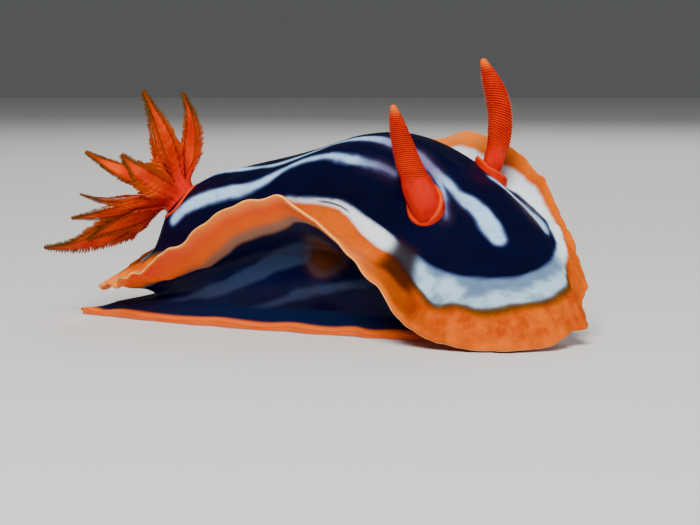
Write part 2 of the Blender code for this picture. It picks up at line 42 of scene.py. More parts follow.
# the animal's bends and rings, as the solid model has them
path = {
    "heading": [(-30, 10), (-12, 16), (0, 26), (10, 42), (17, 54), (24, 60)],   # degrees to its right
    "middle": (1.0, -0.5), "reach": 34, "steps": 681,
}
rings = {
    "midline": {"front": 8.0, "rear": 12.0},
    "dome": {"front": 12.0, "rear": 15.6, "halfWidth": 3.4},
    "shoulder": {"front": 15.4, "rear": 18.0, "halfWidth": 5.9},
    "rim": {"front": 20.2, "rear": 21.5, "halfWidth": 9.0},
    "power": 0.82,
    "midlineEnd": (0.2, 0.75),   # how early, in radians, and how roundly the midline ends
    "domeDrop": 0.2, "domeLean": 0.25,
    "widthAlong": [(-30, 0.55), (-22, 0.66), (-14, 0.80), (-6, 0.90), (2, 0.95), (10, 1.03), (18, 1.06)],
}
# keyed by distance along, or by degrees round the rim: 0 head, 90 left, -90 right, 180 tail
heights = {
    "ridge": [(-24, 3.0), (-20, 6.8), (-16, 10.2), (-12, 11.5), (-8, 12.2), (-4, 13.35), (0, 14.55),
              (3, 14.6), (7, 13.1), (11, 10.7), (15, 7.6)],
    "shoulder": [(-180, 4.6), (-150, 5.6), (-120, 7.3), (-103, 8.5), (-90, 9.0), (-75, 8.2), (-60, 6.9),
                 (-30, 5.2), (0, 5.4), (30, 7.5), (60, 10.3), (80, 11.3), (105, 10.4), (130, 8.8),
                 (155, 6.4)],
    "rim": [(-180, 2.3), (-165, 2.6), (-150, 3.3), (-135, 4.5), (-120, 6.95), (-107, 9.3), (-97, 10.3),
            (-88, 8.2), (-75, 4.7), (-60, 1.35), (-45, 0.45), (-20, 0.3), (-8, 0.45), (3, 1.15), (15, 1.6),
            (30, 4.2), (45, 7.6), (60, 11.2), (72, 13.7), (85, 14.2), (100, 12.3), (120, 9.0), (150, 4.5)],
}
reaches = {
    "shoulder": [(-180, 1.0), (-140, 0.98), (-110, 0.88), (-90, 0.84), (-75, 0.88), (-60, 0.96),
                 (-30, 1.0), (0, 1.0), (60, 1.0), (120, 1.0)],
    "rim": [(-180, 1.0), (-150, 1.0), (-120, 1.0), (-90, 1.0), (-60, 1.0), (-30, 0.97), (0, 0.9),
            (25, 0.82), (50, 0.8), (75, 0.9), (100, 1.0), (130, 1.0), (155, 1.0)],
    "notches": [(22, 0.035, 4.0), (4, 0.03, 3.5), (-16, 0.012, 5.0), (-33, 0.014, 4.0),
                (-158, 0.05, 6.0), (140, 0.02, 6.0)],   # degrees, depth, width
    "nibbles": [(37, 0.003, 0.3), (61, 0.003, 1.0), (97, 0.003, 2.0)],   # waves round the rim, depth, phase
}
skirt = {
    "curl": [(-180, 0.1), (-120, -0.9), (-90, -1.1), (-60, -0.2), (-30, 0.5), (0, 0.6),
             (30, 0.4), (60, -0.5), (90, -0.7), (120, -0.5), (150, -0.2)],
    "ruffle": [(19, 0.16, 0.7), (31, 0.10, 2.1), (47, 0.07, 4.0)],   # as the nibbles, but up and down
    "ruffleFrom": (0.2, 3.0),   # heights over which the ruffle grows
    "rimLift": 0.1, "rimThick": 0.28, "rootThick": 2.2,
    "rootOut": 0.35, "rootGap": 0.9, "lowest": 0.15,
    # the fine frills: their height, count and the levels over which they grow
    "frill": 0.07, "frillCount": 61, "frillFrom": (2.7, 4.0),
    "calm": {"at": 5, "width": 62, "share": 0.95},   # the part round the head with almost none
}
foot = {
    "top": 1.5, "edge": 0.42,
    "flank": {"front": 14.2, "rear": 17.4, "halfWidth": 5.0},
    "join": {"front": 14.3, "rear": 20.5, "halfWidth": 4.6},
    "margin": {"front": 15.6, "rear": 23.6, "halfWidth": 5.9},
    "power": 0.95,
    "widthAlong": [(-30, 0.05), (-24, 0.22), (-21, 0.45), (-17, 0.72), (-12, 0.9), (-6, 1.0),
                   (4, 1.03), (12, 1.0), (18, 0.9)],
    "waist": 0.45,   # how high the flank's middle lies between the foot and the skirt
    "tailFall": 0.45, "tailAlong": (-22.0, -16.5),
    "frill": [(23, 0.022, 1.0), (41, 0.015, 0.0)],
    "sag": 0.16, "edgeWave": 0.25,
    "soleInset": (0.985, 0.96), "soleShorter": 0.15, "soleRows": (0.3, 0.65, 1.0),
}


# numbers and sheets
def smooth(low, high, x):
    w = np.clip((np.asarray(x, float) - low) / (high - low), 0.0, 1.0)
    return w * w * (3.0 - 2.0 * w)


def window(x, riseFrom, riseTo, fallFrom, fallTo):   # 1 between the rise and the fall, 0 outside them
    return smooth(riseFrom, riseTo, x) * (1 - smooth(fallFrom, fallTo, x))


def hump(x, at, width, power=2):
    return np.exp(-((x - at) / width) ** power)


def nearTo(points, at, reach):   # 1 over a spot of the plan, falling away round it
    return np.exp(-((points[..., :2] - np.array(at)) ** 2).sum(-1) / reach ** 2)


def waves(table, t):   # waves round a ring, each by its count, depth and phase
    return sum(depth * np.sin(count * t + phase) for count, depth, phase in table)


def unit(v):
    v = np.asarray(v, float)
    return v / (np.linalg.norm(v, axis=-1, keepdims=True) + 1e-12)


def hermite(xs, ys, slopes, x):
    x = np.clip(x, xs[0], xs[-1])
    i = np.clip(np.searchsorted(xs, x) - 1, 0, len(xs) - 2)
    h = xs[i + 1] - xs[i]
    w = (x - xs[i]) / h
    value = (1 + 2 * w) * (1 - w) ** 2 * ys[i] + w * w * (3 - 2 * w) * ys[i + 1]
    return value + h * w * (1 - w) ** 2 * slopes[i] - h * w * w * (1 - w) * slopes[i + 1]


def keyed(pairs, x):
    xs, ys = np.array(pairs, float).T
    return hermite(xs, ys, np.gradient(ys, xs), np.asarray(x, float))


def keyedRound(pairs, degrees):
    xs, ys = np.array(pairs, float).T
    xs = np.concatenate([xs[-3:] - 360, xs, xs[:3] + 360])
    ys = np.concatenate([ys[-3:], ys, ys[:3]])
    degrees = (np.asarray(degrees, float) + 180) % 360 - 180
    return hermite(xs, ys, np.gradient(ys, xs), degrees)


def bentLine(points, count):   # evenly spaced points on a smooth line through the given ones
    points = np.array(points, float)
    run = np.concatenate([[0], np.cumsum(np.linalg.norm(np.diff(points[:, :2], axis=0), axis=1))])
    s = np.linspace(0, run[-1], count)
    slopes = np.gradient(points, run, axis=0)
    return np.stack([hermite(run, points[:, k], slopes[:, k], s) for k in range(points.shape[1])], -1)


def midlinePath():
    along = np.linspace(-path["reach"], path["reach"], path["steps"])
    turn = np.radians(keyed(path["heading"], along))
    step = along[1] - along[0]
    between = (turn[1:] + turn[:-1]) / 2
    x = np.concatenate([[0], np.cumsum(np.cos(between) * step)])
    y = np.concatenate([[0], np.cumsum(-np.sin(between) * step)])
    x += path["middle"][0] - np.interp(0, along, x)
    y += path["middle"][1] - np.interp(0, along, y)
    return along, x, y, turn


pathAlong, pathX, pathY, pathTurn = midlinePath()


def place(xi, eta, z):   # a point by its distance along the midline, across to the left, and height
    x = np.interp(xi, pathAlong, pathX)
    y = np.interp(xi, pathAlong, pathY)
    a = np.interp(xi, pathAlong, pathTurn)
    return np.stack([x + np.sin(a) * eta, y + np.cos(a) * eta, z + 0 * x], -1)


def alongOf(points):   # distance along the midline of the foot of each point's perpendicular
    xi = np.interp(points[:, 0], pathX, pathAlong)
    for _ in range(8):
        a = np.interp(xi, pathAlong, pathTurn)
        dx = points[:, 0] - np.interp(xi, pathAlong, pathX)
        dy = points[:, 1] - np.interp(xi, pathAlong, pathY)
        xi = xi + 0.8 * (dx * np.cos(a) - dy * np.sin(a))
    return xi


def ringOf(sheet, name, t):   # distances along and across of a rounded ring, at angles t
    shape = sheet[name]
    c, s = (np.sign(v) * np.abs(v) ** sheet["power"] for v in (np.cos(t), np.sin(t)))
    xi = np.where(c > 0, shape["front"], shape["rear"]) * c
    return xi, shape["halfWidth"] * keyed(sheet["widthAlong"], xi) * s


def rimReach(t):
    degrees = np.degrees(t)
    out = keyedRound(reaches["rim"], degrees)
    for at, deep, wide in reaches["notches"]:
        away = (degrees - at + 180) % 360 - 180
        out = out - deep * hump(away, 0, wide) + 0.5 * deep * hump(np.abs(away), 2 * wide, wide)
    return out + waves(reaches["nibbles"], t)


def keyRings(t):   # points of the midline, the dome, the shoulder, the skirt's middle and the rim
    degrees = np.degrees(t)
    early, roundness = rings["midlineEnd"]
    fromEnd = math.pi / 2 - np.minimum(np.abs(t), math.pi - np.abs(t))
    u = np.clip(fromEnd / (math.pi / 2 - early), 0, 1) ** roundness
    x0 = np.where(np.abs(t) < math.pi / 2, rings["midline"]["front"], -rings["midline"]["rear"]) * u
    (x1, e1), (x2, e2), (x4, e4) = (ringOf(rings, name, t) for name in ("dome", "shoulder", "rim"))
    e2 = e2 * keyedRound(reaches["shoulder"], degrees)
    out = rimReach(t)
    x4, e4 = x4 * (0.5 + 0.5 * out), e4 * out
    z4 = keyedRound(heights["rim"], degrees)
    z4 = z4 + waves(skirt["ruffle"], t) * smooth(*skirt["ruffleFrom"], z4) + skirt["rimLift"]
    z2, other = (keyedRound(heights["shoulder"], side * degrees) for side in (1, -1))
    crest = keyed(heights["ridge"], x1)
    z1 = crest - rings["domeDrop"] * (crest - (z2 + other) / 2) + rings["domeLean"] * (z2 - other)
    p2, p4 = place(x2, e2, z2), place(x4, e4, z4)
    p3 = (p2 + p4) / 2
    p3[:, 2] += keyedRound(skirt["curl"], degrees)
    return [place(x0, 0 * x0, keyed(heights["ridge"], x0)), place(x1, e1, z1), p2, p3, p4]


def through(points, ghost, levels):   # a smooth sheet through rings of points, at levels between them
    chord = [np.linalg.norm(b - a, axis=-1, keepdims=True) + 1e-9 for a, b in zip(points, points[1:])]
    first = np.linalg.norm(points[0] - ghost, axis=-1, keepdims=True) + 1e-9
    slopes = [(points[1] - ghost) / (first + chord[0])]
    for j in range(1, len(points) - 1):
        a, b = chord[j - 1], chord[j]
        back, ahead = (points[j] - points[j - 1]) / a, (points[j + 1] - points[j]) / b
        slopes.append((back * b + ahead * a) / (a + b))
    slopes.append((points[-1] - points[-2]) / chord[-1])
    rows = []
    for level in levels:
        j = min(int(level), len(points) - 2)
        w, h = level - j, chord[j]
        row = points[j] * (1 + 2 * w) * (1 - w) ** 2 + points[j + 1] * w * w * (3 - 2 * w)
        rows.append(row + h * slopes[j] * w * (1 - w) ** 2 - h * slopes[j + 1] * w * w * (1 - w))
    return np.array(rows)


def topSheet(t, levels):   # level 0 is the midline, 1 the dome, 2 the shoulder and 4 the rim
    return through(keyRings(t), keyRings(-t)[1], levels)


def sheetNormals(t, level, small=0.02):
    a, b = topSheet(t - small, [level])[0], topSheet(t + small, [level])[0]
    c = topSheet(t, [max(level - small, 0), min(level + small, 4)])
    return unit(np.cross(c[1] - c[0], b - a))


def underSheet(t, level):   # the skirt's lower side, thin at the rim and thick at its root
    f = smooth(2.0, 4.0, level)
    a = np.interp(ringOf(rings, "shoulder", t)[0], pathAlong, pathTurn)
    out = np.stack([np.sin(a), np.cos(a), 0 * a], -1) * np.sin(t)[:, None] * skirt["rootOut"]
    deep = np.minimum(skirt["rootThick"], keyRings(t)[2][:, 2] - foot["top"] - skirt["rootGap"])[:, None]
    root = deep * (np.array([0.0, 0.0, 1.0]) + out)
    low = topSheet(t, [level])[0] - (root * (1 - f) + skirt["rimThick"] * sheetNormals(t, level) * f)
    low[:, 2] = np.maximum(low[:, 2], skirt["lowest"])
    return low


# helpers for meshes
def linked(name, data):
    piece = bpy.data.objects.new(name, data)
    bpy.context.collection.objects.link(piece)
    return piece


def meshObject(name, points, edges, faces):   # points in millimetres
    mesh = bpy.data.meshes.new(name)
    mesh.from_pydata((np.asarray(points, float) * mm).tolist(), edges, faces)
    return linked(name, mesh)


def finished(name, points, faces, material):
    piece = meshObject(name, points, [], faces)
    piece.data.materials.append(material)
    piece.data.shade_smooth()
    return piece


def pointValues(piece, **values):   # named numbers, or directions, on a mesh's points
    for name, amounts in values.items():
        amounts = np.asarray(amounts, np.float32)
        kind, key = ("FLOAT_VECTOR", "vector") if amounts.ndim == 2 else ("FLOAT", "value")
        attribute = piece.data.attributes.new(name, kind, "POINT")
        attribute.data.foreach_set(key, amounts.reshape(-1))


# quads between rings of points, and from the last ring back to the first if closed
def gridFaces(rows, sides, outward=True, closed=False):
    faces = []
    for i in range(rows if closed else rows - 1):
        n = (i + 1) % rows
        for k in range(sides):
            j = (k + 1) % sides
            quad = (i * sides + k, i * sides + j, n * sides + j, n * sides + k)
            faces.append(quad if outward else (quad[0], quad[3], quad[2], quad[1]))
    return faces


def cappedFaces(rows, sides, outward=True):
    caps = [tuple(range(sides))[::-1], tuple((rows - 1) * sides + k for k in range(sides))]
    return gridFaces(rows, sides, outward) + (caps if outward else [cap[::-1] for cap in caps])


# a bent, tapering tube, with its frame carried along untwisted
def tubeMesh(points, radii, sides, closeTip=True):
    points = np.asarray(points, float)
    tangents = unit(np.gradient(points, axis=0))
    u = unit(np.cross(tangents[0], [0.3, 0.5, 0.81]))
    a = 2 * math.pi * np.arange(sides) / sides
    rows = []
    for p, tangent, r in zip(points, tangents, radii):
        u = unit(u - tangent * float(u @ tangent))
        rows.append(p + r * (np.cos(a)[:, None] * u + np.sin(a)[:, None] * np.cross(tangent, u)))
    if closeTip:
        for step in (0.35, 0.7, 1.0):
            shrink = math.sqrt(max(1 - step * step, 0.0004))
            top = points[-1] + tangents[-1] * radii[-1] * step
            rows.append(top + (rows[len(points) - 1] - points[-1]) * shrink)
    return np.concatenate(rows), cappedFaces(len(rows), sides)


def tidyMesh(piece, merge=0.004 * mm):
    bm = bmesh.new()
    bm.from_mesh(piece.data)
    bmesh.ops.remove_doubles(bm, verts=bm.verts, dist=merge)
    bmesh.ops.dissolve_degenerate(bm, edges=bm.edges, dist=merge)
    bmesh.ops.recalc_face_normals(bm, faces=bm.faces)
    bm.to_mesh(piece.data)
    bm.free()
    piece.data.shade_smooth()


def joinInto(piece, other):   # adds another piece's mesh to a piece
    bm = bmesh.new()
    bm.from_mesh(piece.data)
    bm.from_mesh(other.data)
    bpy.data.objects.remove(other)
    bm.to_mesh(piece.data)
    bm.free()
    piece.data.shade_smooth()


def handOver(piece, slot, *nodes):
    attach(piece, "root")
    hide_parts(*nodes)


# helpers for materials and Geometry Nodes
class Wiring:   # short calls for one node tree

    def __init__(self, tree):
        self.tree = tree

    def join(self, source, target):
        if isinstance(source, (int, float, str)):
            target.default_value = source
        elif isinstance(source, tuple):   # a colour
            target.default_value = (*source, 1.0)
        else:
            self.tree.links.new(source, target)

    def node(self, kind, sources=None, **settings):
        made = self.tree.nodes.new(kind)
        for key, value in settings.items():
            setattr(made, key, value)
        for key, source in (sources or {}).items():
            self.join(source, made.inputs[key])
        return made

    def maths(self, operation, a, b=0.0):
        return self.node("ShaderNodeMath", {0: a, 1: b}, operation=operation).outputs[0]

    def plus(self, a, b):
        return self.maths("ADD", a, b)

    def minus(self, a, b):
        return self.maths("SUBTRACT", a, b)

    def times(self, a, b):
        return self.maths("MULTIPLY", a, b)

    def absolute(self, a):
        return self.maths("ABSOLUTE", a)

    def attribute(self, name):
        return self.node("ShaderNodeAttribute", attribute_name=name).outputs["Fac"]

    def noise(self, scale, detail=3.0, rough=0.5):
        spot = self.node("ShaderNodeTexCoord").outputs["Object"]
        sources = {"Vector": spot, "Scale": scale, "Detail": detail, "Roughness": rough}
        return self.node("ShaderNodeTexNoise", sources).outputs["Fac"]

    def ranged(self, value, low, high, toLow=0.0, toHigh=1.0):
        sources = {"Value": value, "From Min": low, "From Max": high, "To Min": toLow, "To Max": toHigh}
        return self.node("ShaderNodeMapRange", sources, interpolation_type="SMOOTHSTEP").outputs["Result"]

    def mixed(self, factor, a, b):
        return self.node("ShaderNodeMix", {0: factor, 6: a, 7: b}, data_type="RGBA").outputs[2]

    def mottled(self, scale, a, b):   # two colours in soft patches
        return self.mixed(self.ranged(self.noise(scale, 4.0), 0.35, 0.65), a, b)

    def over(self, colour, paint, mask, amount=1.0):   # paint laid on a colour where the mask says
        return self.mixed(mask if amount == 1.0 else self.times(mask, amount), colour, paint)

    # for Geometry Nodes
    def named(self, name, kind="FLOAT"):
        made = self.node("GeometryNodeInputNamedAttribute", {"Name": name}, data_type=kind)
        return made.outputs["Attribute"]

    def vectors(self, operation, a, b):
        return self.node("ShaderNodeVectorMath", {0: a, 1: b}, operation=operation).outputs["Vector"]

    def scaled(self, vector, amount):
        sources = {0: vector, "Scale": amount}
        return self.node("ShaderNodeVectorMath", sources, operation="SCALE").outputs["Vector"]

    def turned(self, vector, axis, angle):
        sources = {"Vector": vector, "Axis": axis, "Angle": angle}
        return self.node("ShaderNodeVectorRotate", sources, rotation_type="AXIS_ANGLE").outputs["Vector"]

    def facing(self, up, aside):   # the rotation that lays Z along up and X towards aside
        sources = {"Primary Axis": up, "Secondary Axis": aside}
        kind = "FunctionNodeAxesToRotation"
        return self.node(kind, sources, primary_axis="Z", secondary_axis="X").outputs["Rotation"]

    def pointsAlong(self, line, count):
        return self.node("GeometryNodeCurveToPoints", {"Curve": line, "Count": count}, mode="COUNT").outputs

    def copiesOn(self, points, shape, rotation, scale):
        sources = {"Points": points, "Instance": shape, "Rotation": rotation, "Scale": scale}
        return self.node("GeometryNodeInstanceOnPoints", sources).outputs["Instances"]


def newTree(kind, name, given, made):   # a node group with named inputs and outputs
    tree = bpy.data.node_groups.new(name, kind)
    for inOut, sockets in (("INPUT", given), ("OUTPUT", made)):
        for label, socket in sockets:
            tree.interface.new_socket(name=label, in_out=inOut, socket_type="NodeSocket" + socket)
    w = Wiring(tree)
    return tree, w, w.node("NodeGroupInput").outputs, w.node("NodeGroupOutput").inputs


def makeBorderGroup():   # a soft, wavering border: 1 where a distance in mm is past it
    labels = ("Distance", "Softness", "Waver", "Waver Scale")
    group, w, given, out = newTree("ShaderNodeTree", "waveringBorder",
                                   [(label, "Float") for label in labels], [("Mask", "Float")])
    waver = w.times(w.minus(w.noise(given["Waver Scale"], 4.0), 0.5), given["Waver"])
    low = w.times(given["Softness"], -1.0)
    w.join(w.ranged(w.plus(given["Distance"], waver), low, given["Softness"]), out["Mask"])
    return group


def makeSkinGrainGroup():   # fine pebbled skin: a height for Bump, and a roughness that varies with the mucus
    labels = ("Grain Scale", "Wet Roughness", "Dry Roughness")
    group, w, given, out = newTree("ShaderNodeTree", "wetSkinGrain", [(label, "Float") for label in labels],
                                   [("Height", "Float"), ("Roughness", "Float")])
    spot = w.node("ShaderNodeTexCoord").outputs["Object"]
    sources = {"Vector": spot, "Scale": given["Grain Scale"]}
    cells = w.node("ShaderNodeTexVoronoi", sources, feature="SMOOTH_F1")
    pebbles = w.times(cells.outputs["Distance"], -0.6)
    w.join(w.plus(pebbles, w.noise(1500.0, 4.0, 0.55)), out["Height"])
    patches = w.noise(420.0, 3.0, 0.6)
    w.join(w.ranged(patches, 0.35, 0.65, given["Wet Roughness"], given["Dry Roughness"]), out["Roughness"])
    return group


wetSkin = {"specular": 0.09, "scatterDepth": 0.3, "pebbleDepth": 0.02}
borderGroup, grainGroup = makeBorderGroup(), makeSkinGrainGroup()


def newMaterial(name, scatter, radius):
    material = bpy.data.materials.new(name)
    material.use_nodes = True
    shader = material.node_tree.nodes["Principled BSDF"]
    for label, value in (("Specular IOR Level", wetSkin["specular"]), ("Subsurface Weight", scatter),
                         ("Subsurface Radius", radius), ("Subsurface Scale", wetSkin["scatterDepth"] * mm)):
        shader.inputs[label].default_value = value
    return material, Wiring(material.node_tree), shader


def border(w, distance, softness, waver, scale):
    sources = {"Distance": distance, "Softness": softness, "Waver": waver, "Waver Scale": scale}
    return w.node("ShaderNodeGroup", sources, node_tree=borderGroup).outputs["Mask"]


def wetFinish(w, shader, colour, scale, strength, wet, dry):
    grain = w.node("ShaderNodeGroup", {"Grain Scale": scale, "Wet Roughness": wet, "Dry Roughness": dry},
                   node_tree=grainGroup).outputs
    bump = w.node("ShaderNodeBump", {"Strength": strength, "Distance": wetSkin["pebbleDepth"] * mm,
                                     "Height": grain["Height"]})
    w.join(colour, shader.inputs["Base Color"])
    w.join(grain["Roughness"], shader.inputs["Roughness"])
    w.join(bump.outputs["Normal"], shader.inputs["Normal"])


# skin: back, mantle, flanks and foot in one surface
skinColours = {
    "navy": (0.0015, 0.002, 0.014), "navyLight": (0.0018, 0.0026, 0.022),
    "stripe": (0.43, 0.71, 1.0), "stripeEdge": (0.075, 0.12, 0.30),
    "lilac": (0.17, 0.085, 0.26), "lilacDark": (0.022, 0.010, 0.032),
    # the clean band white is painted brighter, as lit, for the near and far sides
    "band": (0.41, 0.63, 0.80), "bandLitClean": (0.84, 0.93, 1.0), "bandShade": (0.10, 0.17, 0.29),
    "orange": (0.46, 0.047, 0.0), "orangeLight": (0.68, 0.105, 0.0), "peach": (0.86, 0.19, 0.003),
    # crest: a painted highlight for the near crest of the margin, also the paler peach of the far crest and
    # the tail
    "crest": (1.0, 0.28, 0.045), "amber": (0.62, 0.10, 0.0), "rimLine": (1.0, 0.50, 0.14),
    "between": (0.045, 0.028, 0.001),
    # painted shadow colours: of the near rhinophore on the white band and on the orange; the first also
    # paints the shade in the band's fold
    "shadeOnWhite": (0.016, 0.0055, 0.0095), "shadeOnOrange": (0.045, 0.008, 0.0),
    "underRim": (0.84, 0.030, 0.0), "underMiddle": (0.84, 0.115, 0.0), "underRoot": (0.30, 0.135, 0.085),
    "flank": (0.0004, 0.0013, 0.020), "flankLight": (0.001, 0.003, 0.032),
    "flankStripe": (0.022, 0.036, 0.090),
    # lobe: its orange, painted dark with the shade under the skirt; lobeRim: its grey edge
    "lobe": (0.085, 0.022, 0.006), "lobeRim": (0.06, 0.055, 0.06),
    "footSide": (0.003, 0.007, 0.034), "footEdge": (0.85, 0.13, 0.005), "sole": (0.40, 0.36, 0.40),
}
# stripes: distance along, across to the left, half width; all mm
stripes = {
    "median": [(-17.0, 0.2, 0.3), (-12.0, 0.1, 0.34), (-9.0, -0.4, 0.34), (-6.5, -1.1, 0.34),
               (-5.0, -1.0, 0.28), (-3.0, -0.5, 0.26), (-0.2, -0.9, 0.40), (1.2, -1.0, 0.48),
               (2.9, -1.2, 0.48), (5.9, -1.35, 0.45), (7.2, -1.6, 0.42), (8.6, -1.65, 0.38),
               (9.6, -1.65, 0.44), (10.3, -1.5, 0.62), (11.3, -1.2, 0.78), (12.4, -1.2, 0.82),
               (13.1, -1.1, 0.6)],
    "besideRhinophore": [(8.0, -2.0, 0.2), (8.9, -2.5, 0.22), (9.5, -3.0, 0.2), (9.8, -3.3, 0.14)],
    "rightLateral": [(-15.1, -1.9, 0.4), (-13.7, -2.1, 0.54), (-12.1, -2.4, 0.56), (-10.5, -2.6, 0.5),
                     (-8.4, -2.9, 0.43), (-6.9, -2.9, 0.36), (-4.8, -2.4, 0.33), (-3.7, -2.3, 0.32),
                     (-2.3, -2.6, 0.34), (-0.7, -3.1, 0.34), (0.8, -3.4, 0.32), (2.2, -3.5, 0.28),
                     (3.5, -3.5, 0.24), (4.9, -3.5, 0.2)],
    "leftLateral": [(-16.2, 1.6, 0.3), (-12.0, 2.6, 0.42), (-8.0, 3.0, 0.38), (-4.0, 3.1, 0.34),
                    (0.0, 3.4, 0.34), (3.5, 3.6, 0.26), (6.0, 3.8, 0.2)],
    "leftFront": [(9.4, 2.3, 0.2), (9.9, 2.8, 0.38), (10.6, 3.4, 0.5), (11.3, 3.9, 0.55),
                  (12.2, 4.0, 0.5), (13.0, 3.8, 0.36), (13.5, 3.5, 0.2)],
}
# where one colour gives way to the next, as a level of the rings, by degrees round the rim
bandEdges = {
    "blackWhite": [(-180, 2.1), (-160, 2.2), (-150, 2.25), (-125, 2.4), (-112, 1.95), (-103, 1.56),
                   (-99, 1.62), (-95, 1.68), (-90, 1.78), (-87, 1.87), (-81, 2.04), (-71, 2.2),
                   (-63, 2.25), (-55, 2.35), (-43, 2.33), (-22, 2.17), (-7, 2.17), (4, 2.17),
                   (15, 2.25), (26, 2.42), (35, 2.45), (50, 2.66), (57, 2.55), (64, 2.6), (75, 2.8),
                   (90, 2.6), (110, 2.2), (140, 1.8)],
    "whiteOrange": [(-180, 2.5), (-160, 2.2), (-150, 2.25), (-125, 2.42), (-112, 1.97), (-103, 1.58),
                    (-99, 1.66), (-95, 1.75), (-90, 1.91), (-87, 2.15), (-81, 2.54), (-73, 2.62),
                    (-68, 2.64), (-65, 2.74), (-62, 2.86), (-58, 3.02), (-55, 3.15), (-44, 3.08),
                    (-32, 3.17), (-18, 3.08), (-7, 3.08), (3, 3.15), (16, 3.0), (29, 3.0), (41, 3.3),
                    (53, 3.5), (63, 3.5), (72, 3.42), (82, 3.55), (92, 3.5), (105, 3.1), (140, 2.5)],
    "underEnd": [(-180, 5.95), (-135, 5.8), (-125, 5.5), (-116, 5.2), (-109, 4.95), (-104, 4.9),
                 (-99, 4.82), (-96, 4.75), (-93, 4.5), (-91, 4.35), (-88, 4.3), (-84, 4.4), (-70, 5.0),
                 (-40, 5.3), (0, 5.3), (60, 5.2), (120, 5.3), (150, 5.8)],
}
# sides: stripes as heights (mm) at distances along, with half widths; then the round lobe
# and the painted shadow that the near rhinophore casts across the white band, fainter on the orange beyond it
flankMarks = {
    "upper": [(-15.5, 1.3, 0.2), (-12.4, 2.3, 0.32), (-10.5, 2.85, 0.5), (-8.7, 3.55, 0.62),
              (-6.9, 4.4, 0.74), (-5.3, 5.25, 0.86), (-4.0, 5.65, 0.9), (-2.6, 5.9, 0.8)],
    "lower": [(-8.0, 1.2, 0.2), (-4.6, 2.29, 0.3), (-3.1, 2.85, 0.34), (-1.1, 3.25, 0.34),
              (2.1, 3.85, 0.3), (7.0, 4.4, 0.25)],
    "lobe": {"at": -0.8, "height": 5.85, "halfLength": 1.75, "halfHeight": 1.35},
    "shade": {"at": -66.2, "level": 2.35, "slope": -3.0, "halfWidth": 5.6, "growth": 3.0,
              "levels": (2.0, 2.2, 3.05, 3.6),
              "beyond": -66.0, "beyondWidth": 10.0, "beyondDepth": 0.6,
              "beyondLevels": (2.95, 3.3, 3.75, 4.0)},
}
# paint that changes along the animal or round the rim: where it rises and falls, or its middle and width
patches = {
    "lilac": {"along": (0.0, 4.2, 6.8, 9.2), "spot": (6.9, -8.3), "spotReach": 1.3},
    # crest: the painted highlight on the near crest, and the paler peach of the far crest and the tail
    "crest": {"near": (-104, 20), "far": (81, 11), "farAmount": 0.9,
              "tail": (140, 152), "tailAmount": 0.8},
    # the near and far sides, where the band is painted brighter white as lit and free of the mottled cloud,
    # with a more amber orange
    "litCleanBand": [(-125, -110, -75, -66), (14, 32, 115, 130)],
    # where a painted shade darkens the middle of the band, in the fold of the near margin
    "creaseShade": (-95.5, -92.5, -88.5, -86.5),
}
skinGrid = {
    "columns": 480,
    "rows": {"back": 29, "skirt": 37, "under": 31, "flank": 25, "foot": 9},
    "rimAngles": (30, 60, 90, 120, 150),
    "softened": (5.3, 6.9), "passes": 70,   # levels of the corner under the skirt, and rounds of smoothing
    "lobeAt": -92.0, "lobeSwell": 0.7, "lobeWidth": 5.0,
    "mound": {"at": (8.7, 2.7), "reach": 2.1, "height": 0.5, "below": 2.6},
    "striped": 3.2, "stripeSpots": 120,   # the level down to which stripes reach, and spots along each
}


def frillWave(t):   # the fine frills of the rim, unevenly spaced and high
    calm = skirt["calm"]
    wave = np.sin(skirt["frillCount"] * t + 3 * np.sin(5 * t)) * (0.6 + 0.4 * np.sin(7 * t + 1.0))
    return skirt["frill"] * wave * (1 - calm["share"] * hump(np.degrees(t), calm["at"], calm["width"], 4))


def skirtRows(t):   # over the back and skirt, round the rim and in along the skirt's lower side
    count = skinGrid["rows"]
    levels = np.concatenate([np.linspace(0, 2, count["back"]), np.linspace(2, 4, count["skirt"])[1:]])
    frill = frillWave(t)[:, None] * sheetNormals(t, 4.0)

    def frilled(level, row):
        return row + frill * float(smooth(*skirt["frillFrom"], level))

    rows = [(level, frilled(level, row)) for level, row in zip(levels, topSheet(t, levels))]
    lows = []
    for level in np.linspace(4, 2, count["under"]):
        lows.append((8.0 - level, frilled(level, underSheet(t, level))))
    outward = unit(rows[-1][1] - rows[-2][1])
    centre, half = (rows[-1][1] + lows[0][1]) / 2, (rows[-1][1] - lows[0][1]) / 2
    reach = np.linalg.norm(half, axis=-1, keepdims=True)
    for a in np.radians(skinGrid["rimAngles"]):
        rows.append((4.0, centre + half * math.cos(a) + outward * reach * math.sin(a)))
    return rows + lows


def flankRows(t, before, root):   # from the skirt's root down to the foot
    (xf, ef), (xj, ej) = ringOf(foot, "flank", t), ringOf(foot, "join", t)
    base = foot["top"]
    swell = skinGrid["lobeSwell"] * hump(np.degrees(t), skinGrid["lobeAt"], skinGrid["lobeWidth"])
    swell = 1 + swell / foot["flank"]["halfWidth"]
    flank = place(xf, ef * swell, base + (root[:, 2] - base) * foot["waist"])
    join = place(xj, ej, base - foot["tailFall"] * (1 - smooth(*foot["tailAlong"], xj)))
    steps = np.linspace(0, 2, skinGrid["rows"]["flank"])[1:]
    sheet = through([root, flank, join], 2 * root - before, steps)
    return [(6.0 + step, row) for step, row in zip(steps, sheet)]


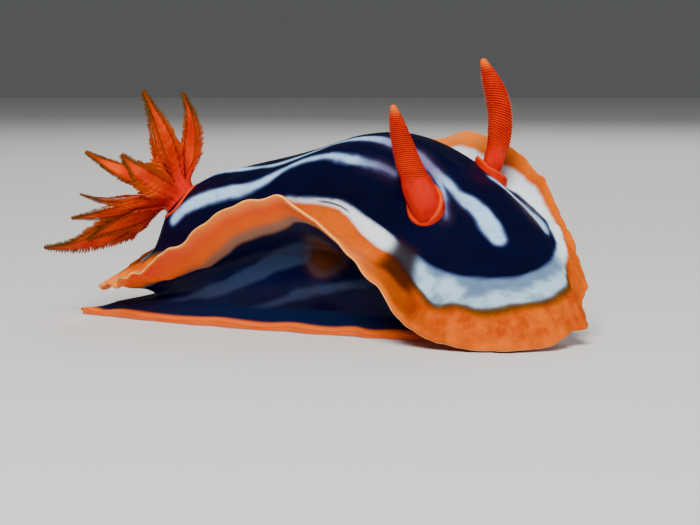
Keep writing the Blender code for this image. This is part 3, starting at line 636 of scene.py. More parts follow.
def footRows(t, join):   # out to the foot's edge, round it and in along the flat sole
    xm, em = ringOf(foot, "margin", t)
    em = em * (1 + waves(foot["frill"], t))
    edge = foot["edge"] * (1 + foot["edgeWave"] * np.sin(17 * t + 2 * np.sin(4 * t)))
    margin = place(xm, em, edge)
    rows = []
    for w in np.linspace(0, 1, skinGrid["rows"]["foot"])[1:]:
        row = join * (1 - w) + margin * w
        row[:, 2] -= foot["sag"] * math.sin(math.pi * w)
        rows.append((8.0 + w, row))
    along, across = foot["soleInset"]
    inward = place(xm * along, em * across, 0 * xm)
    for part in (1 / 3, 2 / 3, 1):
        a = math.pi / 2 * part
        row = margin * (1 - math.sin(a) * 0.5) + inward * (math.sin(a) * 0.5)
        row[:, 2] = edge * math.cos(a)
        rows.append((9.0 + part, row))
    for w in foot["soleRows"]:
        length = along - foot["soleShorter"] * w
        rows.append((10.0 + w, place(xm * length, em * across * (1 - w), 0 * xm)))
    return rows


def skinRows(t):   # rows of points from the midline over the rim and down to the sole, each with its level
    rows = skirtRows(t)
    rows += flankRows(t, rows[-2][1], rows[-1][1])
    return rows + footRows(t, rows[-1][1])


def heightAt(sheet, spot, count, blend):   # how high a sheet's nearest points lie, above or below a spot
    away = ((sheet[:, :2] - spot[:2]) ** 2).sum(1)
    nearest = np.argpartition(away, count)[:count]
    weight = 1.0 / (away[nearest] + blend)
    return (sheet[nearest, 2] * weight).sum() / weight.sum()


def stripeDistance(points):   # millimetres outside the nearest stripe, negative inside it
    best = np.full(len(points), 99.0)
    for line in stripes.values():
        fine = bentLine(line, skinGrid["stripeSpots"])
        for spot, halfWidth in zip(place(fine[:, 0], fine[:, 1], 0 * fine[:, 0]), fine[:, 2]):
            spot[2] = heightAt(points, spot, 8, 1e-3)
            best = np.minimum(best, np.linalg.norm(points - spot, axis=1) - halfWidth)
    return best


def flankStripeDistance(points, xi):
    best = np.full(len(points), 9.0)
    for name in ("upper", "lower"):
        marks = np.array(flankMarks[name])
        pastEnd = smooth(0, 0.8, np.abs(xi - np.clip(xi, marks[0, 0], marks[-1, 0])))
        halfWidth = keyed(marks[:, ::2], xi) - 2.0 * pastEnd
        best = np.minimum(best, np.abs(points[:, 2] - keyed(marks[:, :2], xi)) - halfWidth)
    return best


def lobeDistance(points, xi, degrees):   # in parts of the lobe's size, on the right side only
    lobe = flankMarks["lobe"]
    along = (xi - lobe["at"]) / lobe["halfLength"]
    up = (points[:, 2] - lobe["height"]) / lobe["halfHeight"]
    return np.where(degrees < 0, np.hypot(along, up) - 1.0, 9.0)


# how deep the painted shadow of the near rhinophore lies: across the white band, and fainter on the orange
# beyond it
def shadeDepth(levels, degrees):
    dark = flankMarks["shade"]
    middle = dark["at"] + dark["slope"] * (levels - dark["level"])
    halfWidth = dark["halfWidth"] + dark["growth"] * np.maximum(levels - dark["level"], 0)
    shade = hump(degrees, middle, halfWidth, 6) * window(levels, *dark["levels"])
    beyond = hump(degrees, dark["beyond"], dark["beyondWidth"]) * window(levels, *dark["beyondLevels"])
    return np.maximum(shade, dark["beyondDepth"] * beyond)


def crestShare(degrees):   # where the margin is painted palest: a painted highlight on the near crest, and a paler peach on the far crest and at the tail
    crest = patches["crest"]
    tail = crest["tailAmount"] * smooth(*crest["tail"], np.abs(degrees))
    far = crest["farAmount"] * hump(degrees, *crest["far"])
    return np.maximum(hump(degrees, *crest["near"]), np.maximum(tail, far))


def skinMarks(grid, rowLevels, columnDegrees):   # what the skin's material asks of each point
    rows, columns = len(rowLevels), len(columnDegrees)
    points = grid.reshape(-1, 3)
    levels, degrees = np.repeat(rowLevels, columns), np.tile(columnDegrees, rows)
    xi = alongOf(points)
    rimFrom = int(np.argmax(rowLevels >= 4.0))
    rimRow = rimFrom + len(skinGrid["rimAngles"]) // 2 + 1
    lengths = np.linalg.norm(np.diff(grid, axis=0), axis=2)
    run = np.concatenate([np.zeros((1, columns)), np.cumsum(lengths, axis=0)])

    def past(pairs):   # millimetres past a border, down each column
        wanted, top = keyedRound(pairs, columnDegrees), rimFrom + 1
        at = [np.interp(wanted[k], rowLevels[:top], run[:top, k]) for k in range(columns)]
        return (run - np.array(at)).reshape(-1)

    outside = np.full(len(points), 9.0)
    count = int((rowLevels <= skinGrid["striped"]).sum()) * columns
    outside[:count] = stripeDistance(points[:count])
    lilac, litClean = patches["lilac"], patches["litCleanBand"]
    underEnd = np.tile(keyedRound(bandEdges["underEnd"], columnDegrees), rows)
    return {
        "level": levels,
        "along": xi,
        "toRim": (run[rimRow] - run).reshape(-1),
        "pastBlack": past(bandEdges["blackWhite"]),
        "pastWhite": past(bandEdges["whiteOrange"]),
        "underPart": (levels - 4.0) / (underEnd - 4.0),
        "outsideStripe": outside,
        "outsideFlankStripe": flankStripeDistance(points, xi),
        "outsideLobe": lobeDistance(points, xi, degrees),
        # the painted shadow of the near rhinophore
        "shade": shadeDepth(levels, degrees),
        "crest": crestShare(degrees),
        "lilac": np.maximum(window(xi, *lilac["along"]), nearTo(points, lilac["spot"], lilac["spotReach"])),
        "litCleanBand": sum(window(degrees, *part) for part in litClean),
        "creaseShade": window(degrees, *patches["creaseShade"]),
    }


def makeSkin(material):
    columns, mound = skinGrid["columns"], skinGrid["mound"]
    t = np.linspace(-math.pi, math.pi, columns, endpoint=False) + math.pi / columns
    rows = skinRows(t)
    levels, grid = np.array([level for level, _ in rows]), np.array([row for _, row in rows])
    low, high = skinGrid["softened"]
    soft = np.where((levels > low) & (levels < high))[0]
    for _ in range(skinGrid["passes"]):
        grid[soft] = 0.5 * grid[soft] + 0.25 * (grid[soft - 1] + grid[soft + 1])
    raised = mound["height"] * nearTo(grid, mound["at"], mound["reach"])
    grid[..., 2] += raised * (levels < mound["below"])[:, None]
    faces = gridFaces(len(rows), columns, outward=False)
    piece = finished("skin", grid.reshape(-1, 3), faces, material)
    pointValues(piece, **skinMarks(grid, levels, np.degrees(t)))
    tidyMesh(piece)
    return piece


def paintBack(w, noises):   # navy with stripes that fade through mauve at their edges
    c, lilac = skinColours, w.attribute("lilac")
    lumps = w.times(w.minus(w.noise(420.0, 2.0), 0.5), 0.6)
    outside = w.plus(w.attribute("outsideStripe"), lumps)
    halo = border(w, w.times(w.minus(outside, 0.12), -1.0), 0.2, 0.22, 500.0)
    core = border(w, w.times(w.plus(outside, 0.08), -1.0), 0.20, 0.2, 600.0)
    colour = w.mixed(w.ranged(noises["broad"], 0.3, 0.7), c["navy"], c["navyLight"])
    colour = w.over(colour, c["stripeEdge"], halo, 0.75)
    colour = w.over(colour, c["lilacDark"], w.times(w.ranged(outside, 0.9, 0.0), w.times(lilac, 0.7)))
    paleness = w.ranged(noises["fine"], 0.25, 0.6, 0.72, 1.0)
    return w.over(colour, w.over(c["stripe"], c["lilac"], lilac, 0.88), w.times(core, paleness))


def paintBand(w, colour, marks, noises):   # the mottled white band inside the margin, with a painted shade in its fold
    c, past, litClean, mottle = skinColours, marks["pastBlack"], marks["litCleanBand"], noises["mottle"]
    white = w.mixed(w.ranged(mottle, 0.34, 0.58, 0.25, 1.0), c["bandShade"], c["band"])
    foremost = w.ranged(marks["along"], 12.0, 14.5, 0.0, 0.8)
    depth = w.minus(w.plus(past, w.times(mottle, 2.0)), foremost)
    cloud = w.times(w.ranged(depth, 2.0, 0.9, 0.0, 0.88), w.minus(1.0, litClean))
    white = w.over(white, c["bandShade"], cloud)
    # painted brighter white, as lit, on the near and far sides
    white = w.over(white, c["bandLitClean"], litClean, 0.9)
    # a painted shade down the middle of the band, in the fold
    middle = w.times(w.absolute(w.plus(past, marks["pastWhite"])), 0.5)
    foldShade = w.times(w.ranged(middle, 0.14, 0.05), w.attribute("creaseShade"))
    white = w.over(white, c["shadeOnWhite"], foldShade, 0.85)
    colour = w.over(colour, c["stripeEdge"], border(w, w.plus(past, 0.16), 0.2, 0.3, 600.0), 0.7)
    return w.over(colour, white, border(w, past, 0.2, 0.4, 700.0))


def paintMargin(w, colour, marks, noises):   # the orange margin, with an olive passage next to the white
    c, past, litClean, toRim = skinColours, marks["pastWhite"], marks["litCleanBand"], marks["toRim"]
    both = w.plus(noises["broad"], noises["mottle"])
    orange = w.mixed(w.ranged(both, 0.75, 1.2), c["orange"], c["orangeLight"])
    orange = w.over(orange, c["amber"], litClean, 0.6)
    rearward = w.ranged(marks["along"], 9.5, 5.5, 0.2, 0.7)
    orange = w.over(orange, c["peach"], w.times(w.ranged(toRim, 1.3, 0.2), rearward))
    # a painted highlight on the near crest, paler peach on the far crest and at the tail
    orange = w.over(orange, c["crest"], w.times(w.ranged(toRim, 2.6, 0.4), w.times(marks["crest"], 0.7)))
    orange = w.over(orange, c["peach"], w.ranged(noises["fine"], 0.5, 0.7), 0.35)
    colour = w.over(colour, orange, border(w, past, 0.22, 0.5, 500.0))
    begun = border(w, w.plus(past, 0.2), 0.2, 0.5, 500.0)
    ended = border(w, w.minus(past, 0.42), 0.4, 0.7, 420.0)
    passage = w.times(begun, w.minus(1.0, ended))
    passage = w.times(passage, w.minus(0.88, w.times(litClean, 0.8)))
    return w.over(colour, c["between"], passage)


def paintShade(w, colour, marks):   # the painted shadow of the near rhinophore on the band and the orange, and the pale line of the rim
    c = skinColours
    onOrange = border(w, marks["pastWhite"], 0.4, 0.5, 500.0)
    shaded = w.mixed(onOrange, c["shadeOnWhite"], c["shadeOnOrange"])
    colour = w.over(colour, shaded, w.attribute("shade"), 0.97)
    return w.over(colour, c["rimLine"], w.ranged(w.absolute(marks["toRim"]), 0.08, 0.02))


def paintUnder(w, marks):   # the underside of the skirt
    c, part = skinColours, marks["underPart"]
    under = w.mixed(w.ranged(part, 0.08, 0.6), c["underRim"], c["underMiddle"])
    # the painted highlight of the near crest, carried onto the underside by the rim
    under = w.over(under, c["crest"], w.times(w.ranged(part, 0.4, 0.0), w.times(marks["crest"], 0.85)))
    under = w.over(under, c["underRoot"], w.ranged(part, 0.58, 0.82))
    return w.over(under, c["rimLine"], w.ranged(marks["toRim"], -0.08, -0.02))


def paintFlank(w, noises):   # dark blue with two stripes and the round lobe
    c, outside = skinColours, w.attribute("outsideLobe")
    flank = w.mixed(w.ranged(noises["broad"], 0.3, 0.7), c["flank"], c["flankLight"])
    stripe = border(w, w.times(w.attribute("outsideFlankStripe"), -1.0), 0.25, 0.6, 500.0)
    flank = w.over(flank, c["flankStripe"], stripe, 0.85)
    # the lobe's orange, with the shade under the skirt painted in
    flank = w.over(flank, c["lobe"], border(w, w.times(outside, -1.0), 0.6, 0.35, 700.0))
    return w.over(flank, c["lobeRim"], w.ranged(w.absolute(outside), 0.3, 0.05), 0.3)


def makeSkinMaterial():
    material, w, shader = newMaterial("stripedWetSkin", 0.1, (1.0, 0.4, 0.2))
    names = ("level", "toRim", "along", "pastBlack", "pastWhite", "litCleanBand", "crest", "underPart")
    marks = {name: w.attribute(name) for name in names}
    noises = {"broad": w.noise(260.0, 4.0, 0.6), "fine": w.noise(1400.0, 5.0, 0.65),
              "mottle": w.noise(520.0, 4.0, 0.55)}
    colour = paintBand(w, paintBack(w, noises), marks, noises)
    colour = paintShade(w, paintMargin(w, colour, marks, noises), marks)
    below = w.ranged(marks["level"], 4.001, 4.01)
    colour = w.over(colour, paintUnder(w, marks), below)
    onFlank = w.times(below, w.ranged(marks["underPart"], 0.88, 1.04))
    colour = w.over(colour, paintFlank(w, noises), onFlank)
    for name, low, high in (("footSide", 7.75, 8.1), ("footEdge", 8.55, 8.8), ("sole", 9.8, 10.05)):
        colour = w.over(colour, skinColours[name], w.ranged(marks["level"], low, high))
    wetFinish(w, shader, colour, 5200.0, 0.35, 0.34, 0.5)
    return material


skin = makeSkin(makeSkinMaterial())
handOver(skin, "back_skin", "head", "back_front", "back_rear", "foot_front", "foot_middle", "foot_tail",
         "mantle_front", "mantle_right_front", "mantle_right_rear", "mantle_rear", "mantle_left_rear",
         "mantle_left_front")
print("skin made")


# lines that carry the horns and gills
seating = {"columns": 361, "rows": 60, "lowest": 3.9, "slopeReach": 1.7}


def seatOn(xi, eta):   # a point of the back and the way the skin faces there
    t = np.linspace(-math.pi, math.pi, seating["columns"])
    sheet = topSheet(t, np.linspace(0, seating["lowest"], seating["rows"])).reshape(-1, 3)
    seat = place(np.array([xi]), np.array([eta]), np.array([0.0]))[0]
    seat[2] = heightAt(sheet, seat, 6, 1e-4)
    away = ((sheet[:, :2] - seat[:2]) ** 2).sum(1)
    around = sheet[away < seating["slopeReach"] ** 2] - seat
    plan = np.c_[around[:, :2], np.ones(len(around))]
    slope = np.linalg.lstsq(plan, around[:, 2], rcond=None)[0]
    return seat, unit([-slope[0], -slope[1], 1.0])


def lineObject(name, points, **values):   # a chain of points with named values, for a tree to work along
    piece = meshObject(name, points, [(i, i + 1) for i in range(len(points) - 1)], [])
    pointValues(piece, **values)
    return piece


def growOn(piece, tree, settings):   # runs a Geometry Nodes tree on a piece and keeps the plain mesh
    modifier = piece.modifiers.new("grow", "NODES")
    modifier.node_group = tree
    names = {item.name: item.identifier for item in tree.interface.items_tree if item.in_out == "INPUT"}
    for key, value in settings.items():
        modifier[names[key]] = value
    bpy.context.view_layer.update()
    graph = bpy.context.evaluated_depsgraph_get()
    mesh = bpy.data.meshes.new_from_object(piece.evaluated_get(graph))
    piece.modifiers.remove(modifier)
    old = piece.data
    piece.data = mesh
    bpy.data.meshes.remove(old)
    mesh.shade_smooth()


# a tree that sets copies of one object along a line: its nodes so far, its inputs, the line and the object
def beginGrowth(name, part, *numbers):
    inputs = [("Geometry", "Geometry"), (part, "Object"), ("Count", "Int"), *numbers, ("Finish", "Material")]
    tree, w, given, out = newTree("GeometryNodeTree", name, inputs, [("Geometry", "Geometry")])
    line = w.node("GeometryNodeMeshToCurve", {"Mesh": given["Geometry"]}).outputs["Curve"]
    shape = w.node("GeometryNodeObjectInfo", {"Object": given[part]}).outputs["Geometry"]
    return tree, w, given, out, line, shape


def endGrowth(w, copies, given, out):
    real = w.node("GeometryNodeRealizeInstances", {"Geometry": copies}).outputs["Geometry"]
    painted = w.node("GeometryNodeSetMaterial", {"Geometry": real, "Material": given["Finish"]})
    w.join(painted.outputs["Geometry"], out["Geometry"])


# rhinophores: a stalk and a club ringed with slanted leaves
rhinophore = {
    "right": {"at": (8.02, -3.75), "lean": (-0.314, -0.15, 0.95), "length": 7.55, "bow": -0.18,
              "ringed": (0.34, 0.97),
              "widths": [(0, 1.10), (0.12, 1.18), (0.23, 1.2), (0.36, 1.08), (0.5, 0.94), (0.66, 0.82),
                         (0.8, 0.68), (0.9, 0.52), (0.96, 0.38), (1.0, 0.24)],
              "sheath": 1.02, "raised": 0.12, "tilt": (0.28, 0.2)},
    "left": {"at": (8.5, 3.75), "lean": (-0.056, 0.13, 0.985), "length": 8.55, "bow": 0.98,
             "ringed": (0.26, 0.97),
             "widths": [(0, 0.74), (0.12, 0.74), (0.22, 0.78), (0.35, 0.88), (0.5, 0.93), (0.68, 0.92),
                        (0.84, 0.75), (0.94, 0.48), (1.0, 0.28)],
             "sheath": 1.02, "raised": 0.2, "tilt": (0.05, 0.0)},
    "sunk": 0.9, "bowFrom": 0.12, "sides": 36, "rows": 60, "leafRows": 80,
    "coreThinner": 0.08, "leafGrowth": 0.12, "slopeAcross": (0.95, 0.3, 0.0),
    "leaves": 36, "leafThick": 0.09, "slant": 22.0, "leafUnder": 0.93, "leafOver": 1.09,
    "leafSides": 40,   # below, the leaf's profile: radius, height in half thicknesses, how much is edge
    "leafProfile": [(0.55, 1.2, 0.0), (0.88, 1.1, 0.3), (0.97, 0.7, 0.8), (1.0, 0.0, 1.0),
                    (0.97, -0.7, 0.8), (0.88, -1.1, 0.3), (0.55, -1.2, 0.0)],
    "colour": (0.50, 0.004, 0.0), "light": (0.66, 0.013, 0.0), "leafEdge": (0.80, 0.040, 0.0),
    "tipColour": (0.88, 0.13, 0.0),
}


def makeHornMaterial():
    material, w, shader = newMaterial("ringedHorn", 0.2, (1.0, 0.3, 0.1))
    colour = w.mottled(700.0, rhinophore["colour"], rhinophore["light"])
    colour = w.over(colour, rhinophore["leafEdge"], w.attribute("leafEdge"), 0.6)
    colour = w.over(colour, rhinophore["tipColour"], w.ranged(w.attribute("height"), 0.9, 1.02))
    wetFinish(w, shader, colour, 6000.0, 0.2, 0.28, 0.42)
    return material


def makeLeafTree():   # slanted leaves round a line: a disc on each point, scaled by the line's own width
    tree, w, given, out, line, leaf = beginGrowth("slantedLeaves", "Leaf", ("Slant", "Float"))
    spots = w.pointsAlong(line, given["Count"])
    slope = w.named("slopeAxis", "FLOAT_VECTOR")
    up = w.turned(spots["Tangent"], slope, given["Slant"])
    copies = w.copiesOn(spots["Points"], leaf, w.facing(up, slope), w.named("width"))
    endGrowth(w, copies, given, out)
    return tree


def leafDisc():   # one leaf of unit radius (in mm): a thin disc, rounded at its edge, a little domed
    sides, half = rhinophore["leafSides"], rhinophore["leafThick"] / 2
    radius, height, edge = np.array(rhinophore["leafProfile"]).T
    a = 2 * math.pi * np.arange(sides) / sides
    rows = [np.stack([r * np.cos(a), r * np.sin(a), half * z + 0 * a], -1) for r, z in zip(radius, height)]
    leaf = meshObject("leaf", np.concatenate(rows), [], cappedFaces(len(rows), sides, outward=False))
    pointValues(leaf, leafEdge=np.repeat(edge, sides))
    return leaf


def hornLine(spec, low, high, count):
    seat, lean = seatOn(*spec["at"])[0], unit(spec["lean"])
    s = np.linspace(low, high, count)
    sunk, bowFrom = rhinophore["sunk"], rhinophore["bowFrom"]
    bow = np.array([spec["bow"], 0.0, 0.0])
    bend = np.sin(math.pi * np.maximum(s - bowFrom, 0) / (1 - bowFrom))[:, None]
    points = seat + lean * (-sunk + (spec["length"] + sunk) * s)[:, None] + bow * bend
    return s, points, keyed(spec["widths"], s)


def tubeHeights(points, s, sides):   # s on the rows along a tube, 1 on those that close its tip
    return np.repeat(np.concatenate([s, np.ones(len(points) // sides - len(s))]), sides)


def makeHorn(side, material, tree, leaf):
    spec, sides = rhinophore[side], rhinophore["sides"]
    first, last = spec["ringed"]
    s, points, radii = hornLine(spec, 0.0, 1.0, rhinophore["rows"])
    ringed = window(s, first - 0.02, first + 0.03, 0.96, 1.0)
    points, faces = tubeMesh(points, radii * (1 - rhinophore["coreThinner"] * ringed), sides)
    horn = finished("rhinophore" + side.capitalize(), points, faces, material)
    pointValues(horn, height=tubeHeights(points, s, sides), leafEdge=np.zeros(len(points)))
    s, points, radii = hornLine(spec, first, last, rhinophore["leafRows"])
    slopeAxis = np.tile(unit(np.cross(unit(spec["lean"]), rhinophore["slopeAcross"])), (len(s), 1))
    under, over = rhinophore["leafUnder"], rhinophore["leafOver"]
    width = radii * (under + (over - under) * smooth(first, first + rhinophore["leafGrowth"], s))
    width = width * (1 - 0.1 * smooth(0.9, 1.0, s))
    leaves = lineObject("leaves", points, width=width, height=s, slopeAxis=slopeAxis)
    growOn(leaves, tree, {"Leaf": leaf, "Count": rhinophore["leaves"],
                          "Slant": math.radians(rhinophore["slant"]), "Finish": material})
    joinInto(horn, leaves)
    handOver(horn, "rhinophore_skin", "rhinophore_" + side)


hornMaterial, leafTree, leaf = makeHornMaterial(), makeLeafTree(), leafDisc()
for side in ("right", "left"):
    makeHorn(side, hornMaterial, leafTree, leaf)
bpy.data.objects.remove(leaf)
print("rhinophores made")


# raised sheaths and the gill collar: rings laid along the skin, each by its profile of heights and radii
collars = {
    "sheath": {"profile": [(-1.0, 1.42), (-0.3, 1.38), (0.0, 1.37), (0.2, 1.36), (0.33, 1.29), (0.37, 1.17),
                           (0.3, 1.07), (0.08, 1.01), (-0.3, 0.99), (-1.0, 0.99)], "waver": 0.04},
    "gillPocket": {"profile": [(-0.9, 2.3), (-0.3, 2.14), (-0.04, 2.06), (0.06, 1.98), (0.08, 1.88),
                               (0.0, 1.78), (-0.25, 1.7), (-0.9, 1.66)], "waver": 0.03, "scale": 0.93},
    "sides": 72, "profilePoints": 34, "above": 4.0, "evened": 3, "lip": 0.3,
    # rim: a painted highlight along the collar's top lip
    "colour": (0.50, 0.010, 0.0), "light": (0.66, 0.026, 0.0), "rim": (0.76, 0.050, 0.0),
}
skinPoints = np.empty(len(skin.data.vertices) * 3)
skin.data.vertices.foreach_get("co", skinPoints)
skinTree = BVHTree.FromPolygons((skinPoints.reshape(-1, 3) / mm).tolist(),
                                [tuple(face.vertices) for face in skin.data.polygons])


def skinHeight(spot, axis):   # how far along the axis the skin lies from a spot
    above = collars["above"]
    hit = skinTree.ray_cast(Vector(spot + axis * above), Vector(-axis))
    return -1.0 if hit[0] is None else max(above - hit[3], -1.0)


def makeCollarMaterial():
    material, w, shader = newMaterial("orangeCollar", 0.2, (1.0, 0.3, 0.1))
    colour = w.mottled(800.0, collars["colour"], collars["light"])
    # a painted highlight along the top lip
    colour = w.over(colour, collars["rim"], w.ranged(w.attribute("lip"), 0.3, 1.0))
    wetFinish(w, shader, colour, 5200.0, 0.3, 0.26, 0.4)
    return material


def makeCollar(name, seat, axis, spec, material, scale=1.0, raised=0.0, tilt=(0.0, 0.0)):
    sides = collars["sides"]
    u = unit(np.cross(axis, [0.2, 0.9, 0.4]))
    v = np.cross(axis, u)
    profile = bentLine([(r, h) for h, r in spec["profile"]], collars["profilePoints"])
    angles = 2 * math.pi * np.arange(sides) / sides
    ways = [u * math.cos(a) + v * math.sin(a) for a in angles]
    middle = profile[:, 0].mean() * scale
    drops = np.array([skinHeight(seat + way * middle, axis) for way in ways])
    for _ in range(collars["evened"]):
        drops = (np.roll(drops, 1) + drops + np.roll(drops, -1)) / 3
    points, lips = [], []
    top = profile[:, 1].max()
    for a, way, drop in zip(angles, ways, drops):
        waver = spec["waver"] * (math.sin(3 * a + 0.5) + 0.6 * math.sin(7 * a + 1.2))
        waver += tilt[0] * way[0] + tilt[1] * way[1]
        for r, h in profile:
            lift = waver * float(smooth(-0.2, top, h))
            points.append(seat + axis * (h + lift + drop + raised) + way * (r + 0.3 * lift) * scale)
            lips.append(float(smooth(top - collars["lip"], top, h)))
    faces = gridFaces(sides, len(profile), outward=False, closed=True)
    piece = finished(name, points, faces, material)
    pointValues(piece, lip=lips)
    tidyMesh(piece)
    return piece


collarMaterial = makeCollarMaterial()
for side in ("right", "left"):
    spec = rhinophore[side]
    seat, facing = seatOn(*spec["at"])
    axis = unit(0.6 * unit(spec["lean"]) + 0.4 * facing)
    sheath = makeCollar("rhinophoreSheath" + side.capitalize(), seat, axis, collars["sheath"],
                        collarMaterial, spec["sheath"], spec["raised"], spec["tilt"])
    handOver(sheath, "rhinophore_skin", "rhinophore_sheath_" + side)


# gills: branches that fork into fine leaflets
gill = {
    "seat": (-15.4, 0.2), "axis": (-0.62, 0.05, 0.78), "up": (0.78, 0.0, 0.62), "ring": 1.25, "sunk": 0.7,
    "rows": 121, "steps": 241, "sides": 28, "ribs": 15, "ribDepth": 0.06,
    "leafletCount": 34, "countFor": 8.0,   # leaflets in a row of a branch this long
    "spread": 42.0, "around": (0.0, 26.0, -26.0, 180.0, 154.0, 206.0), "sizes": (0.7, 1.15),
    "reach": (0.16, 0.36), "edgeAt": 0.86,   # a leaflet's least reach, and what the blade's width adds
    "bareRoot": 0.2, "longFringe": 1.3, "bareFringed": 0.1, "fringeWidth": 0.16,
    "base": (0.66, 0.014, 0.006), "colour": (0.58, 0.020, 0.0), "light": (0.82, 0.066, 0.0),
    "edge": (0.36, 0.06, 0.0), "tip": (0.06, 0.04, 0.004),
}
# turn round the pocket and roll of the blade in degrees; fringe: how much longer the leaflets are, and where
gillBranches = {
    "01": {"turn": -12, "aim": (0.12, -0.1, 1.0), "tip": (-0.4, -0.1, 0.9), "length": 8.4,
           "halfWidth": 0.72, "bend": (0.04, 0.2), "roll": 62},
    "02": {"turn": -48, "aim": (-0.25, -0.3, 0.9), "tip": (-0.4, -0.1, 0.9), "length": 9.4,
           "halfWidth": 0.95, "bend": (0.08, 0.34), "roll": 10, "fringe": (1.1, 0.28)},
    "03": {"turn": -84, "aim": (-0.75, -0.5, 0.5), "tip": (-0.6, -0.2, 0.7), "length": 6.6,
           "halfWidth": 0.85, "bend": (0.04, 0.2), "roll": 0, "fringe": (0.9, 0.45)},
    "04": {"turn": -120, "aim": (-0.9, -0.4, -0.2), "tip": (-0.9, 0.0, -0.12), "length": 8.8,
           "halfWidth": 0.7, "bend": (0.05, 0.18), "roll": 0},
    "05": {"turn": -156, "aim": (-0.9, -0.3, -0.35), "tip": (-0.8, -0.1, -0.5), "length": 7.6,
           "halfWidth": 0.95, "bend": (0.05, 0.18), "roll": 30, "fringe": (2.3, 0.22)},
    "06": {"turn": 168, "aim": (-0.9, 0.0, -0.55), "tip": (-1.0, 0.0, -0.02), "length": 11.5,
           "halfWidth": 1.0, "bend": (0.05, 0.17), "roll": 50, "fringe": (1.5, 0.25)},
    "07": {"turn": 132, "aim": (-0.9, 0.3, -0.1), "tip": (-0.9, 0.2, 0.3), "length": 8.8,
           "halfWidth": 0.7, "bend": (0.05, 0.2), "roll": 40},
    "08": {"turn": 96, "aim": (-0.85, 0.4, 0.27), "tip": (-0.8, 0.3, 0.45), "length": 10.0,
           "halfWidth": 0.65, "bend": (0.05, 0.22), "roll": 10},
    "09": {"turn": 60, "aim": (-0.3, 0.7, 0.6), "tip": (-0.4, 0.5, 0.6), "length": 6.4,
           "halfWidth": 0.7, "bend": (0.1, 0.4), "roll": 0},
    "10": {"turn": 24, "aim": (0.1, 0.6, 0.7), "tip": (-0.2, 0.4, 0.8), "length": 5.6,
           "halfWidth": 0.65, "bend": (0.12, 0.42), "roll": 0},
}
gillSeat, gillAxis = seatOn(*gill["seat"])[0], unit(gill["axis"])
gillUp = np.array(gill["up"])
gillUp = unit(gillUp - gillAxis * float(gillUp @ gillAxis))
gillAcross = np.cross(gillAxis, gillUp)


def makeGillMaterial():
    material, w, shader = newMaterial("gillPlume", 0.25, (1.0, 0.25, 0.08))
    height, outward = w.attribute("height"), w.attribute("outward")
    colour = w.mottled(500.0, gill["colour"], gill["light"])
    colour = w.over(colour, gill["base"], w.ranged(height, 0.5, 0.12))
    edge = w.times(w.ranged(outward, 0.75, 1.3), w.ranged(height, 0.2, 0.7))
    colour = w.over(colour, gill["edge"], edge)
    dark = w.ranged(w.plus(height, w.times(outward, 0.14)), 0.78, 1.04)
    colour = w.over(colour, gill["tip"], dark, 0.85)
    wetFinish(w, shader, colour, 6000.0, 0.2, 0.25, 0.4)
    return material


leafletParts = {
    "shaft": {"length": 0.95, "radius": 0.20, "sides": 6, "rows": 6},
    "finger": {"length": 0.34, "radius": 0.09, "sides": 4, "rows": 3},
    "pairs": 3, "from": 0.30, "apart": 0.18, "shorter": 0.06,
    "curve": 0.12, "taper": 0.65,
}


def leafletShape():   # a leaflet one unit (mm) long up Z: a tapering shaft with side fingers in its XZ plane
    parts = leafletParts
    points, faces, outward = [], [], []

    def finger(part, start, direction, length):
        s = np.linspace(0, 1, part["rows"])
        line = start + direction * (length * s)[:, None]
        line = line + np.array([0, 0, parts["curve"] * length]) * (s * s)[:, None]
        radii = part["radius"] * (1 - parts["taper"] * s)
        made, around = tubeMesh(line, radii, part["sides"], closeTip=False)
        base = len(points)
        faces.extend(tuple(base + i for i in face) for face in around)
        points.extend(made)
        outward.extend(np.repeat(1.0 + 0.5 * (start[2] + length * s), part["sides"]))

    finger(parts["shaft"], np.zeros(3), np.array([0.0, 0.0, 1.0]), parts["shaft"]["length"])
    for i in range(parts["pairs"]):
        start = np.array([0.0, 0.0, parts["from"] + parts["apart"] * i])
        length = parts["finger"]["length"] - parts["shorter"] * i
        for sign in (-1, 1):
            finger(parts["finger"], start, unit([sign * 0.8, 0.15 * sign, 0.6]), length)
    leaflet = meshObject("leaflet", points, [], faces)
    pointValues(leaflet, outward=outward)
    return leaflet


def makePlumeTree():   # rows of leaflets from a blade's edges, leaning forward, sized by the line's own reach
    tree, w, given, out, line, leaflet = beginGrowth("plume", "Leaflet", ("Spread", "Float"), ("Seed", "Int"))
    reach, wide, edgeAt = w.named("reach"), w.named("wide", "FLOAT_VECTOR"), w.named("edgeAt")
    sine, cosine = w.maths("SINE", given["Spread"]), w.maths("COSINE", given["Spread"])
    together = w.node("GeometryNodeJoinGeometry")
    low, high = gill["sizes"]
    for row, around in enumerate(gill["around"]):
        spots = w.pointsAlong(line, w.minus(given["Count"], float(row % 2)))
        tangent = spots["Tangent"]
        aside = w.turned(wide, tangent, math.radians(around))
        sources = {2: low, 3: high, "Seed": w.plus(given["Seed"], float(row))}
        chance = w.node("FunctionNodeRandomValue", sources, data_type="FLOAT").outputs[1]
        direction = w.vectors("ADD", w.scaled(aside, sine), w.scaled(tangent, cosine))
        sources = {"Geometry": spots["Points"], "Offset": w.scaled(aside, edgeAt)}
        moved = w.node("GeometryNodeSetPosition", sources).outputs["Geometry"]
        copies = w.copiesOn(moved, leaflet, w.facing(direction, tangent), w.times(reach, chance))
        w.join(copies, together.inputs["Geometry"])
    endGrowth(w, together.outputs["Geometry"], given, out)
    return tree


